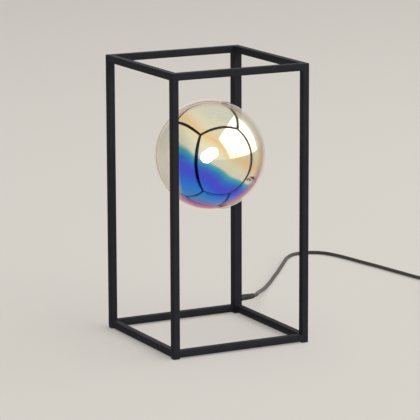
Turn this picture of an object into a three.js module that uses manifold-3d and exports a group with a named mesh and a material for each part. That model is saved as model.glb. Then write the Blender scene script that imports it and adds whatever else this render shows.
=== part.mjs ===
// Glass orb table lamp: a cage of welded square tube holds a mirror-coated glass globe on a short arm.
// A two-core cord leaves the foot of the rear right upright and carries an inline switch and a plug.
// Millimetres, +Z up. The origin is on the table, under the middle of the cage.

import * as THREE from 'three';
import { mergeVertices } from 'three/addons/utils/BufferGeometryUtils.js';
import Module from 'manifold-3d';

const wasm = await Module();
wasm.setup();

// Gap kept between pieces that touch
const GAP = 0.3;

// Cage of square tube
const CAGE_WIDTH = 200;
const CAGE_HEIGHT = 375;
const TUBE = 9.5;
const WIREWAY_TUBE = 12;
const TUBE_WALL = 1.2;
const TUBE_CORNER = 1;
const FOOT_HEAD = 1.5;
const FOOT_STUB = 9;
const FOOT_RIBS = 3;

// Glass globe and its moulded screw neck
const GLOBE_CENTRE = new THREE.Vector3(0, -9, 247.5);
const GLOBE_RADIUS = 74;
const GLASS_WALL = 2.4;
const NECK_RADIUS = 18;
const NECK_BORE = 15.5;
const NECK_END = 84;
const NECK_FILLET = 3;
const THREAD_PITCH = 4.5;
const THREAD_TURNS = 1.3;
const THREAD_START = 75.7;

// Cup, collar and arm, by distance from the globe's centre
const CUP_RIM = 73.6;
const CUP_BACK = 90.6;
const CUP_RADIUS = 24;
const CUP_SHEET = 1.2;
const COLLAR_FLOOR = 2.5;
const ARM_RADIUS = 7;
const NIPPLE_RADIUS = 5;
const NIPPLE_BORE = 3.6;
const NIPPLE_START = 55.4;
const NIPPLE_IN_ARM = 20;
const NUT_ACROSS_CORNERS = 15;
const NUT_THICKNESS = 3;

// Lampholder and capsule bulb
const HOLDER_FRONT = 27;
const HOLDER_BACK = 49;
const HOLDER_WIDTH = 22;
const HOLDER_DEPTH = 14;
const BRACKET_BACK = 57.2;
const BRACKET_SHEET = 1.2;
const PIN_SPREAD = 4.5;
const PIN_END = 42;
const BULB_TIP = -24;
const BULB_RADIUS = 8;
const BULB_GLASS = 0.9;
const BULB_OPEN_END = 16;
const BULB_BASE_END = 26;

// Cord and its cores
const CORD_DIAMETER = 5.4;
const CORD_RADIUS = CORD_DIAMETER / 2;
const CORD_SIDES = 8;
const CORD_STEPS = 64;
const CORE_RADIUS = 1;
const CORE_SPREAD = 1.4;
const CORD_EXIT_HEIGHT = 20;
const BOOT_LENGTH = 22;
const SLEEVE_LENGTH = 24;
const SLEEVE_RADIUS = 4.7;
const SLEEVE_TIP_RADIUS = 3.6;

// Cord from the bush to the switch's boot: out level, down to the table, back and round to the right
const CORD_ROUTE = [
  [98.2, 94, 20], [104, 94, 20], [110, 94.05, 20], [116.5, 94.75, 20], [122.8, 96.9, 19.9],
  [128.2, 100.6, 19.6], [132.5, 105.6, 19.1], [138.4, 115.6, 17.8], [145, 127, 16], [153, 140, 13.5],
  [163, 154, 10.8], [175, 169, 8], [188, 185, 5.5], [202, 203, 3.7], [217, 222, 2.85],
  [231, 240, 2.85], [245, 258, 2.85], [260, 277, 2.85], [275, 297, 2.85], [290, 317, 2.85],
  [305, 337, 2.85], [321, 357, 2.85], [341, 372, 2.85], [363, 373, 2.85], [382, 361, 2.85],
  [392, 340, 2.85], [398, 314, 2.85], [403, 282, 2.85], [409, 248, 2.85], [414, 214, 2.85],
  [419, 181, 2.85], [424, 150, 2.85], [428.5, 124, 4.2], [430, 108, 7.2], [430, 92.3, 9],
];

// Coil: two layers wound clockwise, in to the middle and out again
const COIL_MID_RADIUS = 30;
const COIL_TURNS = 5 + 75 / 360;
const COIL_STEP_OUT = 6.8;
const COIL_STEP_UP = 5.95;
const COIL_LIFT = 0.9;
const COIL_START = new THREE.Vector2(430, -40);
const LOOP_STEPS = 24;
const LOOP_SIDES = 6;
const TIE_SHEET = 0.6;
const TIE_WIDTH = 5;
const TAIL_LENGTH = 15;

// Inline switch, its length along the cord
const SWITCH_CENTRE = new THREE.Vector2(430, 38);
const SWITCH_LENGTH = 64;
const SWITCH_WIDTH = 26;
const SWITCH_HEIGHT = 18;
const SWITCH_WALL = 1.8;
const SWITCH_CORNER = 8;
const ROCKER_PIVOT = 13.5;
const ROCKER_WIDTH = 10.8;
const ROCKER_TILT = THREE.MathUtils.degToRad(9);

// Two-pin plug
const PLUG_LENGTH = 35;
const PLUG_HALF_WIDTH = 17.6;
const PLUG_THICKNESS = 13.7;
const PLUG_PIN_RADIUS = 2;
const PLUG_PIN_LENGTH = 19;
const PLUG_PIN_SPREAD = 9.3;

const ROUND = 28;
const GLOBE_SEGMENTS = 36;

// Materials

function finish(color, roughness, metalness) {
  return () => new THREE.MeshStandardMaterial({ color, roughness, metalness });
}

const powderCoat = finish(0x26262b, 0.55, 0.3);
const iridescentGlass = finish(0x9fb6d8, 0.05, 0.6);
const clearGlass = finish(0xf4efe2, 0.2, 0);
const steel = finish(0xa9adb2, 0.35, 1);
const brass = finish(0xc2a25a, 0.35, 1);
const ceramic = finish(0xe9e5da, 0.5, 0);
const ledBoard = finish(0xf7e3a0, 0.6, 0);
const blackPlastic = finish(0x17171a, 0.5, 0);
const cordSheath = finish(0x2a2724, 0.7, 0);
const silicone = finish(0xc9cdd0, 0.6, 0);
const brownCore = finish(0x5b3a22, 0.5, 0);
const blueCore = finish(0x2b5c9e, 0.5, 0);

// Solids

function outward(geometry) {
  // Turns a geometry's triangles to face out, by the sign of the volume that they enclose
  const at = geometry.attributes.position;
  const index = geometry.index.array;
  const [a, b, c] = [new THREE.Vector3(), new THREE.Vector3(), new THREE.Vector3()];
  let volume = 0;
  for (let i = 0; i < index.length; i += 3) {
    a.fromBufferAttribute(at, index[i]);
    b.fromBufferAttribute(at, index[i + 1]);
    c.fromBufferAttribute(at, index[i + 2]);
    volume += a.dot(b.cross(c));
  }
  if (volume < 0) {
    for (let i = 0; i < index.length; i += 3) {
      [index[i], index[i + 1]] = [index[i + 1], index[i]];
    }
  }
  return geometry;
}

function closed(geometry) {
  const bare = geometry.clone();
  bare.deleteAttribute('normal');
  bare.deleteAttribute('uv');
  return outward(mergeVertices(bare, 1e-4));
}

function solidOf(geometry) {
  const merged = closed(geometry);
  return new wasm.Manifold(new wasm.Mesh({
    numProp: 3,
    vertProperties: Float32Array.from(merged.attributes.position.array),
    triVerts: Uint32Array.from(merged.index.array),
  }));
}

function geometryOf(solid) {
  const mesh = solid.getMesh();
  const geometry = new THREE.BufferGeometry();
  geometry.setAttribute('position', new THREE.BufferAttribute(mesh.vertProperties, 3));
  geometry.setIndex(new THREE.BufferAttribute(mesh.triVerts, 1));
  geometry.computeVertexNormals();
  return geometry;
}

function cut(body, ...tools) {
  const solid = tools.reduce((rest, tool) => rest.subtract(solidOf(tool)), solidOf(body));
  return geometryOf(solid);
}

function joined(body, ...others) {
  const solid = others.reduce((sum, other) => sum.add(solidOf(other)), solidOf(body));
  return geometryOf(solid);
}

function common(body, other) {
  return geometryOf(solidOf(body).intersect(solidOf(other)));
}

function add(group, name, geometry, material) {
  const mesh = new THREE.Mesh(closed(geometry), material());
  mesh.name = name;
  group.add(mesh);
  return mesh;
}

// Shapes

function roundedRectangle(width, height, radius) {
  const [x, y] = [width / 2 - radius, height / 2 - radius];
  const shape = new THREE.Shape();
  shape.absarc(x, y, radius, 0, Math.PI / 2);
  shape.absarc(-x, y, radius, Math.PI / 2, Math.PI);
  shape.absarc(-x, -y, radius, Math.PI, 1.5 * Math.PI);
  shape.absarc(x, -y, radius, 1.5 * Math.PI, 2 * Math.PI);
  return shape;
}

function prism(shape, depth, curveSegments = 3) {
  return new THREE.ExtrudeGeometry(shape, { depth, bevelEnabled: false, curveSegments });
}

function box(x0, x1, y0, y1, z0, z1) {
  const geometry = new THREE.BoxGeometry(x1 - x0, y1 - y0, z1 - z0);
  return geometry.translate((x0 + x1) / 2, (y0 + y1) / 2, (z0 + z1) / 2);
}

function rod(radius, start, end, segments = ROUND) {
  // A cylinder along Y
  const geometry = new THREE.CylinderGeometry(radius, radius, end - start, segments);
  return geometry.translate(0, (start + end) / 2, 0);
}

function turned(profile, segments = ROUND) {
  // A revolved solid about Y, from [radius, y] pairs
  return new THREE.LatheGeometry(profile.map(([r, y]) => new THREE.Vector2(r, y)), segments);
}

function ring(inner, outer, start, end, segments = ROUND) {
  return turned([[inner, start], [outer, start], [outer, end], [inner, end], [inner, start]], segments);
}

function arc(centreR, centreY, radius, from, to, steps) {
  // Points on an arc in the profile plane; the angle is measured from +r towards +y
  return Array.from({ length: steps + 1 }, (_, i) => {
    const angle = from + (to - from) * i / steps;
    return [centreR + radius * Math.cos(angle), centreY + radius * Math.sin(angle)];
  });
}

function sweptTube(points, radius, sides, endRadius = radius) {
  // A closed round tube through points, one ring a point, that can taper along the way
  const positions = [];
  const index = [];
  const tangentAt = (i) => points[Math.min(i + 1, points.length - 1)].clone()
    .sub(points[Math.max(i - 1, 0)]).normalize();
  let tangent = tangentAt(0);
  let normal = new THREE.Vector3(0, 0, 1);
  if (Math.abs(tangent.z) > 0.9) normal = new THREE.Vector3(1, 0, 0);
  normal.sub(tangent.clone().multiplyScalar(normal.dot(tangent))).normalize();
  points.forEach((point, i) => {
    const next = tangentAt(i);
    normal.applyQuaternion(new THREE.Quaternion().setFromUnitVectors(tangent, next));
    tangent = next;
    const side = tangent.clone().cross(normal);
    const reach = THREE.MathUtils.lerp(radius, endRadius, i / (points.length - 1));
    for (let k = 0; k < sides; k++) {
      const angle = 2 * Math.PI * k / sides;
      const out = normal.clone().multiplyScalar(reach * Math.cos(angle))
        .addScaledVector(side, reach * Math.sin(angle));
      positions.push(point.x + out.x, point.y + out.y, point.z + out.z);
    }
  });
  for (let i = 0; i < points.length - 1; i++) {
    for (let k = 0; k < sides; k++) {
      const [a, b] = [i * sides + k, i * sides + (k + 1) % sides];
      index.push(a, b, a + sides, b, b + sides, a + sides);
    }
  }
  const last = (points.length - 1) * sides;
  for (let k = 1; k < sides - 1; k++) {
    index.push(0, k + 1, k, last, last + k, last + k + 1);
  }
  const geometry = new THREE.BufferGeometry();
  geometry.setAttribute('position', new THREE.Float32BufferAttribute(positions, 3));
  geometry.setIndex(index);
  return outward(geometry);
}

function bentPath(corners, radius, steps = 5) {
  // A polyline whose corners are rounded to a bend radius
  const path = [corners[0].clone()];
  for (let i = 1; i < corners.length - 1; i++) {
    const back = corners[i - 1].clone().sub(corners[i]).normalize();
    const on = corners[i + 1].clone().sub(corners[i]).normalize();
    const reach = radius * Math.tan((Math.PI - back.angleTo(on)) / 2);
    const bend = new THREE.QuadraticBezierCurve3(
      corners[i].clone().addScaledVector(back, reach),
      corners[i].clone(),
      corners[i].clone().addScaledVector(on, reach),
    );
    path.push(...bend.getPoints(steps));
  }
  path.push(corners.at(-1).clone());
  return path;
}

function helixRidge(rootRadius, crestRadius, rootWidth, crestWidth, start, turns) {
  // A right-hand thread ridge about Y with run-in and run-out, rooted a little inside its wall
  const rings = Math.round(turns * 20);
  const fade = 3;
  const sunk = rootRadius + 0.6 * Math.sign(rootRadius - crestRadius);
  const positions = [];
  const index = [];
  for (let i = 0; i <= rings; i++) {
    const rise = Math.min(1, (i + 0.3) / fade, (rings - i + 0.3) / fade);
    const crest = rootRadius + (crestRadius - rootRadius) * rise;
    const angle = 2 * Math.PI * turns * i / rings;
    const middle = start + THREAD_PITCH * turns * i / rings;
    const section = [
      [sunk, -rootWidth / 2], [crest, -crestWidth / 2], [crest, crestWidth / 2], [sunk, rootWidth / 2],
    ];
    for (const [r, y] of section) {
      positions.push(r * Math.sin(angle), middle + y, r * Math.cos(angle));
    }
  }
  for (let i = 0; i < rings; i++) {
    for (let k = 0; k < 4; k++) {
      const [a, b] = [4 * i + k, 4 * i + (k + 1) % 4];
      index.push(a, b, a + 4, b, b + 4, a + 4);
    }
  }
  const last = 4 * rings;
  index.push(0, 2, 1, 0, 3, 2, last, last + 1, last + 2, last, last + 2, last + 3);
  const geometry = new THREE.BufferGeometry();
  geometry.setAttribute('position', new THREE.Float32BufferAttribute(positions, 3));
  geometry.setIndex(index);
  return outward(geometry);
}

const lamp = new THREE.Group();
const HALF = CAGE_WIDTH / 2;
const TUBE_START = FOOT_HEAD + GAP;

// Cage: uprights over the full height, rails between them, foot plugs in the open lower ends

function uprightAt(x, y, side) {
  const middle = (edge) => Math.sign(edge) * (HALF - side / 2);
  const outer = prism(roundedRectangle(side, side, TUBE_CORNER), CAGE_HEIGHT - TUBE_START);
  const bore = side - 2 * TUBE_WALL;
  const hollow = box(-bore / 2, bore / 2, -bore / 2, bore / 2, -1, CAGE_HEIGHT - TUBE_START - TUBE_WALL);
  return cut(outer, hollow).translate(middle(x), middle(y), TUBE_START);
}

function rail(length) {
  const shape = roundedRectangle(TUBE, TUBE, TUBE_CORNER);
  const bore = TUBE / 2 - TUBE_WALL;
  shape.holes.push(new THREE.Path().moveTo(-bore, -bore).lineTo(-bore, bore).lineTo(bore, bore)
    .lineTo(bore, -bore).lineTo(-bore, -bore));
  return prism(shape, length);
}

function footPlug(side) {
  const core = side - 2 * TUBE_WALL - 2 * GAP;
  const head = prism(roundedRectangle(side, side, TUBE_CORNER), FOOT_HEAD);
  const stub = box(-core / 2 + 0.5, core / 2 - 0.5, -core / 2 + 0.5, core / 2 - 0.5, 0.5, FOOT_STUB);
  const ribs = Array.from({ length: FOOT_RIBS }, (_, i) => {
    const low = FOOT_HEAD + 1.2 + i * 2.4;
    return box(-core / 2, core / 2, -core / 2, core / 2, low, low + 1);
  });
  return joined(head, stub, ...ribs);
}

const CORNERS = [
  { name: 'front_left', x: -1, y: -1, side: TUBE },
  { name: 'front_right', x: 1, y: -1, side: TUBE },
  { name: 'rear_left', x: -1, y: 1, side: TUBE },
  { name: 'rear_right', x: 1, y: 1, side: WIREWAY_TUBE },
];

const WIREWAY_CENTRE = HALF - WIREWAY_TUBE / 2;
const towardsUpright = new THREE.Vector3(WIREWAY_CENTRE, WIREWAY_CENTRE, GLOBE_CENTRE.z)
  .sub(GLOBE_CENTRE);
const UPRIGHT_DISTANCE = towardsUpright.length();
const head = new THREE.Group();
head.position.copy(GLOBE_CENTRE);
head.quaternion.setFromUnitVectors(new THREE.Vector3(0, 1, 0), towardsUpright.clone().normalize());
head.updateMatrix();

function wirewayUpright() {
  const coreHole = rod(NIPPLE_BORE + 0.4, UPRIGHT_DISTANCE - 12, UPRIGHT_DISTANCE).applyMatrix4(head.matrix);
  const bushHole = rod(4.2, 0, WIREWAY_TUBE).rotateZ(-Math.PI / 2)
    .translate(WIREWAY_CENTRE, WIREWAY_CENTRE, CORD_EXIT_HEIGHT);
  return cut(uprightAt(1, 1, WIREWAY_TUBE), coreHole, bushHole);
}

for (const { name, x, y, side } of CORNERS) {
  const upright = side === WIREWAY_TUBE ? wirewayUpright() : uprightAt(x, y, side);
  add(lamp, `${name}_upright`, upright, powderCoat);
  const plug = add(lamp, `${name}_foot_plug`, footPlug(side), blackPlastic);
  plug.position.set(x * (HALF - side / 2), y * (HALF - side / 2), 0);
}

for (const [level, z] of [['bottom', TUBE_START + TUBE / 2], ['top', CAGE_HEIGHT - TUBE / 2]]) {
  const inner = HALF - TUBE;
  const toWireway = HALF - WIREWAY_TUBE;
  const sides = [
    { name: 'front', from: -inner, to: inner, turn: 0, at: -(HALF - TUBE / 2) },
    { name: 'rear', from: -inner, to: toWireway, turn: 0, at: HALF - TUBE / 2 },
    { name: 'left', from: -inner, to: inner, turn: 1, at: -(HALF - TUBE / 2) },
    { name: 'right', from: -inner, to: toWireway, turn: 1, at: HALF - TUBE / 2 },
  ];
  for (const { name, from, to, turn, at } of sides) {
    const geometry = rail(to - from - 2 * GAP);
    const mesh = add(lamp, `${level}_${name}_rail`, geometry, powderCoat);
    mesh.rotation.set(turn ? -Math.PI / 2 : 0, turn ? 0 : Math.PI / 2, 0);
    mesh.position.set(turn ? at : from + GAP, turn ? from + GAP : at, z);
  }
}

// Head: everything on the arm is made about Y, the distance from the globe's centre towards the upright

function globe() {
  const inner = GLOBE_RADIUS - GLASS_WALL;
  const filletR = NECK_RADIUS + NECK_FILLET;
  const filletY = Math.sqrt((GLOBE_RADIUS + NECK_FILLET) ** 2 - filletR ** 2);
  const meets = Math.atan2(filletY, filletR);
  const innerEnd = Math.acos(NECK_BORE / inner);
  const profile = [
    [0, -GLOBE_RADIUS],
    ...arc(0, 0, GLOBE_RADIUS, -Math.PI / 2, meets, 15).slice(1),
    ...arc(filletR, filletY, NECK_FILLET, Math.PI + meets, Math.PI, 3).slice(1),
    [NECK_RADIUS, NECK_END - 1],
    [NECK_RADIUS - 0.8, NECK_END],
    [NECK_BORE + 0.6, NECK_END],
    [NECK_BORE, NECK_END - 0.8],
    ...arc(0, 0, inner, innerEnd, -Math.PI / 2, 12).slice(0, -1),
    [0, -inner],
  ];
  const ridge = helixRidge(NECK_RADIUS, NECK_RADIUS + 1.2, 2.4, 1.2, THREAD_START, THREAD_TURNS);
  return joined(turned(profile, GLOBE_SEGMENTS), ridge);
}

function threadCollar() {
  const bore = NECK_RADIUS + 1.9;
  const outer = CUP_RADIUS - CUP_SHEET - GAP;
  const back = CUP_BACK - CUP_SHEET - GAP;
  const body = turned([
    [bore + 0.6, CUP_RIM + 1.2], [outer, CUP_RIM + 1.2], [outer, back - 2.4], [outer - 2.4, back],
    [NIPPLE_RADIUS + GAP, back], [NIPPLE_RADIUS + GAP, back - COLLAR_FLOOR],
    [bore, back - COLLAR_FLOOR], [bore, CUP_RIM + 1.8], [bore + 0.6, CUP_RIM + 1.2],
  ]);
  const start = THREAD_START + THREAD_PITCH / 2;
  return joined(body, helixRidge(bore, NECK_RADIUS + 0.7, 2, 1, start, THREAD_TURNS));
}

function cup() {
  const bend = 3;
  const inside = CUP_RADIUS - CUP_SHEET;
  return turned([
    [inside, CUP_RIM],
    [CUP_RADIUS, CUP_RIM],
    ...arc(CUP_RADIUS - bend, CUP_BACK - bend, bend, 0, Math.PI / 2, 3),
    [NIPPLE_RADIUS + GAP, CUP_BACK],
    [NIPPLE_RADIUS + GAP, CUP_BACK - CUP_SHEET],
    ...arc(CUP_RADIUS - bend, CUP_BACK - bend, bend - CUP_SHEET, Math.PI / 2, 0, 3),
    [inside, CUP_RIM],
  ]);
}

function hexNut(start) {
  const hexagon = rod(NUT_ACROSS_CORNERS / 2, start, start + NUT_THICKNESS, 6);
  const shoulder = turned([
    [0, start], [6.4, start], [7.7, start + 0.7], [7.7, start + NUT_THICKNESS - 0.7],
    [6.4, start + NUT_THICKNESS], [0, start + NUT_THICKNESS],
  ], 18);
  const bore = rod(NIPPLE_RADIUS + GAP, start - 1, start + NUT_THICKNESS + 1, 18);
  return cut(common(hexagon, shoulder), bore);
}

function arm() {
  const start = CUP_BACK + GAP;
  const body = rod(ARM_RADIUS, start, UPRIGHT_DISTANCE - 1.4);
  const nippleBore = rod(NIPPLE_RADIUS + GAP, start - 1, start + NIPPLE_IN_ARM + 1);
  const coreBore = rod(NIPPLE_BORE + 0.4, start, UPRIGHT_DISTANCE);
  const side = WIREWAY_TUBE + 2 * GAP;
  const upright = prism(roundedRectangle(side, side, TUBE_CORNER + GAP), 60)
    .translate(WIREWAY_CENTRE, WIREWAY_CENTRE, GLOBE_CENTRE.z - 30)
    .applyMatrix4(head.matrix.clone().invert());
  return cut(body, nippleBore, coreBore, upright);
}

function alongAxis(geometry, start) {
  return geometry.rotateX(-Math.PI / 2).translate(0, start, 0);
}

function holderBody() {
  const depth = HOLDER_BACK - HOLDER_FRONT;
  const block = alongAxis(prism(roundedRectangle(HOLDER_WIDTH, HOLDER_DEPTH, 3.5), depth), HOLDER_FRONT);
  const tools = [-1, 1].flatMap((side) => {
    const x = side * PIN_SPREAD;
    const screwHole = rod(1.5, 7.5, HOLDER_WIDTH, 16).rotateZ(-side * Math.PI / 2)
      .translate(0, HOLDER_FRONT + 14, 0);
    return [
      box(x - 2.2, x + 2.2, HOLDER_FRONT - 1, HOLDER_BACK - 3.5, -2.5, 2.5),
      rod(1.5, HOLDER_BACK - 4, HOLDER_BACK + 1, 16).translate(x, 0, 0),
      screwHole,
    ];
  });
  return cut(block, ...tools);
}

function contactClip() {
  // A folded spring strip with a pinched mouth, in section, about the pin
  const outside = [[1.9, 28.4], [1.15, 31], [1.8, 35], [1.8, 44.8]];
  const inside = [[1.5, 28.4], [0.75, 31], [1.4, 35], [1.4, 44.4]];
  const left = (points) => points.map(([x, y]) => [-x, y]);
  const loop = [
    ...outside, ...left(outside).reverse(), ...left(inside), ...inside.slice().reverse(),
  ];
  const shape = new THREE.Shape(loop.map(([x, y]) => new THREE.Vector2(x, y)));
  return prism(shape, 4).translate(0, 0, -2);
}

function holderBracket() {
  const outer = HOLDER_WIDTH / 2 + GAP + BRACKET_SHEET;
  const inner = outer - BRACKET_SHEET;
  const front = HOLDER_FRONT + 9;
  const strap = cut(
    box(-outer, outer, front, BRACKET_BACK, -HOLDER_DEPTH / 2, HOLDER_DEPTH / 2),
    box(-inner, inner, front - 1, BRACKET_BACK - BRACKET_SHEET, -HOLDER_DEPTH, HOLDER_DEPTH),
  );
  const nippleHole = rod(NIPPLE_RADIUS + GAP, BRACKET_BACK - 3, BRACKET_BACK + 1, 24);
  const screwHole = rod(1.5, -20, 20, 16).rotateZ(Math.PI / 2).translate(0, HOLDER_FRONT + 14, 0);
  return cut(strap, nippleHole, screwHole);
}

function holderScrew(side) {
  const seat = HOLDER_WIDTH / 2 + BRACKET_SHEET + 2 * GAP;
  const profile = [
    [0, 7.9], [1.2, 7.9], [1.2, seat], [2.4, seat], [2.4, seat + 0.9], [1.8, seat + 1.5], [0, seat + 1.5],
  ];
  return turned(profile, 16).rotateZ(-side * Math.PI / 2).translate(0, HOLDER_FRONT + 14, 0);
}

function bulbEnvelope() {
  const inner = BULB_RADIUS - BULB_GLASS;
  const centre = BULB_TIP + BULB_RADIUS;
  return turned([
    [0, BULB_TIP],
    ...arc(0, centre, BULB_RADIUS, -Math.PI / 2, 0, 4).slice(1),
    [BULB_RADIUS, BULB_OPEN_END],
    [inner, BULB_OPEN_END],
    ...arc(0, centre, inner, 0, -Math.PI / 2, 4).slice(0, -1),
    [0, BULB_TIP + BULB_GLASS],
  ], 20);
}

function bulbBase() {
  const plug = BULB_RADIUS - BULB_GLASS - GAP;
  const seat = BULB_OPEN_END + GAP;
  return turned([
    [0, seat - 4], [plug, seat - 4], [plug, seat], [BULB_RADIUS, seat], [BULB_RADIUS, BULB_BASE_END - 1.5],
    [BULB_RADIUS - 1.5, BULB_BASE_END], [0, BULB_BASE_END],
  ], 20);
}

add(head, 'glass_globe', globe(), iridescentGlass);
add(head, 'neck_gasket', ring(NECK_BORE - 0.1, NECK_RADIUS - 0.1, NECK_END + GAP, NECK_END + 2.3, 24), silicone);
add(head, 'thread_collar', threadCollar(), blackPlastic);
add(head, 'globe_cup', cup(), powderCoat);
const collarFloor = CUP_BACK - CUP_SHEET - GAP - COLLAR_FLOOR;
add(head, 'cup_washer', ring(NIPPLE_RADIUS + GAP, 9, collarFloor - GAP - 1, collarFloor - GAP, 20), steel);
add(head, 'cup_nut', hexNut(collarFloor - 2 * GAP - 1 - NUT_THICKNESS), steel);
const nippleEnd = CUP_BACK + GAP + NIPPLE_IN_ARM;
add(head, 'threaded_nipple', ring(NIPPLE_BORE, NIPPLE_RADIUS, NIPPLE_START, nippleEnd, 24), steel);
add(head, 'holder_lock_nut', hexNut(BRACKET_BACK + GAP), steel);
add(head, 'globe_arm', arm(), powderCoat);
add(head, 'lampholder_body', holderBody(), ceramic);
add(head, 'lampholder_bracket', holderBracket(), steel);
for (const [name, side] of [['left', -1], ['right', 1]]) {
  add(head, `${name}_contact_clip`, contactClip(), brass).position.x = side * PIN_SPREAD;
  add(head, `${name}_holder_screw`, holderScrew(side), steel);
  const pin = alongAxis(prism(roundedRectangle(0.8, 2.4, 0.35), PIN_END - BULB_BASE_END - GAP), 0);
  add(head, `${name}_bulb_pin`, pin, steel).position.set(side * PIN_SPREAD, BULB_BASE_END + GAP, 0);
}
add(head, 'bulb_envelope', bulbEnvelope(), clearGlass);
add(head, 'bulb_base', bulbBase(), ceramic);
add(head, 'bulb_led_column', rod(4.4, BULB_TIP + 9, BULB_OPEN_END - 4, 6), ledBoard);
lamp.add(head);

// Cores: from the sheath's end, up the wireway upright, through the arm and the nipple to the clips

function corePath(side) {
  const inHead = (x, y, z) => new THREE.Vector3(x, y, z).applyMatrix4(head.matrix);
  const x = side * CORE_SPREAD;
  const top = inHead(x, UPRIGHT_DISTANCE, 0);
  const sheathEnd = CORD_ROUTE[0][0] - GAP;
  return bentPath([
    new THREE.Vector3(sheathEnd, WIREWAY_CENTRE - side * 1.2, CORD_EXIT_HEIGHT),
    new THREE.Vector3(top.x, top.y, CORD_EXIT_HEIGHT),
    top,
    inHead(x, NIPPLE_START + 0.5, 0),
    inHead(side * PIN_SPREAD, HOLDER_BACK + 0.9, 0),
    inHead(side * PIN_SPREAD, HOLDER_BACK - 3.7, 0),
  ], 2.2);
}

add(lamp, 'live_core', sweptTube(corePath(-1), CORE_RADIUS, 6), brownCore);
add(lamp, 'neutral_core', sweptTube(corePath(1), CORE_RADIUS, 6), blueCore);
const sleeve = ring(2.9, 3.5, 0, 206, 20).rotateX(Math.PI / 2);
add(lamp, 'insulating_sleeve', sleeve, silicone).position.set(WIREWAY_CENTRE, WIREWAY_CENTRE, 30);

// Free cord: the long stretch is extruded along a smooth curve through the route's points

function cordStretch(points, steps) {
  const section = Array.from({ length: CORD_SIDES }, (_, i) => {
    const angle = 2 * Math.PI * i / CORD_SIDES;
    return new THREE.Vector2(CORD_RADIUS * Math.cos(angle), CORD_RADIUS * Math.sin(angle));
  });
  const extrudePath = new THREE.CatmullRomCurve3(points, false, 'centripetal');
  return new THREE.ExtrudeGeometry(new THREE.Shape(section), { steps, extrudePath });
}

const route = CORD_ROUTE.map(([x, y, z]) => new THREE.Vector3(x, y, z));
add(lamp, 'cord_from_lamp', cordStretch(route, CORD_STEPS), cordSheath);

// Cord bush: a barb behind the tube's wall, a flange on it, and a tapered sleeve that bends with the cord

function cordBush() {
  const wall = WIREWAY_TUBE / 2;
  const fitting = turned([
    [0, wall - 2.6], [3.8, wall - 2.6], [4.6, wall - TUBE_WALL - GAP], [3.9, wall - TUBE_WALL - GAP],
    [3.9, wall + GAP], [5.4, wall + GAP], [5.4, wall + 1.4], [4.6, wall + 2], [0, wall + 2],
  ], 16).rotateZ(-Math.PI / 2).translate(WIREWAY_CENTRE, WIREWAY_CENTRE, CORD_EXIT_HEIGHT);
  const curve = new THREE.CatmullRomCurve3(route, false, 'centripetal');
  const reach = curve.getLength();
  const along = (distance) => curve.getPointAt(distance / reach);
  const spans = (from, to, steps) => Array.from({ length: steps + 1 }, (_, i) => (
    along(from + (to - from) * i / steps)
  ));
  const sleeve = sweptTube(spans(2.5, SLEEVE_LENGTH, 5), SLEEVE_RADIUS, 12, SLEEVE_TIP_RADIUS);
  const behind = route[0].clone().setX(route[0].x - 3);
  const bore = [behind, ...spans(0, SLEEVE_LENGTH + 2, 7)];
  return cut(joined(fitting, sleeve), sweptTube(bore, CORD_RADIUS + 2 * GAP, 12));
}

add(lamp, 'cord_bush', cordBush(), blackPlastic);

// Coil: the radius falls steadily, stays level through the climbing half turn, and grows again

const LAYER_TURNS = (COIL_TURNS - 0.5) / 2;
const COIL_INNER = COIL_MID_RADIUS - COIL_STEP_OUT * LAYER_TURNS / 2;
const COIL_OUTER = COIL_INNER + COIL_STEP_OUT * LAYER_TURNS;
const COIL_LOW = COIL_LIFT + CORD_RADIUS;
const COIL_CENTRE = new THREE.Vector2(COIL_START.x - COIL_OUTER, COIL_START.y - CORD_DIAMETER);

function coilPoint(turn) {
  const climb = THREE.MathUtils.clamp((turn - LAYER_TURNS) / 0.5, 0, 1);
  const radius = COIL_INNER + COIL_STEP_OUT
    * (Math.max(LAYER_TURNS - turn, 0) + Math.max(turn - LAYER_TURNS - 0.5, 0));
  const angle = -2 * Math.PI * turn;
  return new THREE.Vector3(
    COIL_CENTRE.x + radius * Math.cos(angle),
    COIL_CENTRE.y + radius * Math.sin(angle),
    COIL_LOW + COIL_STEP_UP * THREE.MathUtils.smoothstep(climb, 0, 1),
  );
}

const coilSteps = Math.round(COIL_TURNS * LOOP_STEPS);
const coilTurns = Array.from({ length: coilSteps + 1 }, (_, i) => coilPoint(COIL_TURNS * i / coilSteps));
const coilHeading = coilTurns.at(-1).clone().sub(coilTurns.at(-2)).setZ(0).normalize();
const coilPath = [
  new THREE.Vector3(COIL_START.x, COIL_START.y, COIL_LOW),
  ...coilTurns,
  coilTurns.at(-1).clone().addScaledVector(coilHeading, CORD_DIAMETER),
];
add(lamp, 'cord_coil', sweptTube(coilPath, CORD_RADIUS, LOOP_SIDES), cordSheath);

function leastGap(path) {
  // The least gap from the tube to itself, past the stretch beside each point
  let least = Infinity;
  for (let i = 0; i < path.length; i++) {
    for (let k = i + LOOP_STEPS / 2; k < path.length; k++) {
      least = Math.min(least, path[i].distanceTo(path[k]));
    }
  }
  return least - CORD_DIAMETER;
}

const finePath = Array.from({ length: 901 }, (_, i) => coilPoint(COIL_TURNS * i / 900));
const gapOnFinePath = leastGap(finePath.filter((_, i) => i % 3 === 0));
console.log(`coil: least gap to itself ${gapOnFinePath.toFixed(2)} mm over ${COIL_TURNS.toFixed(2)} turns`);

// Leads: from the switch down to the coil, and from the coil's end to the plug

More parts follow.
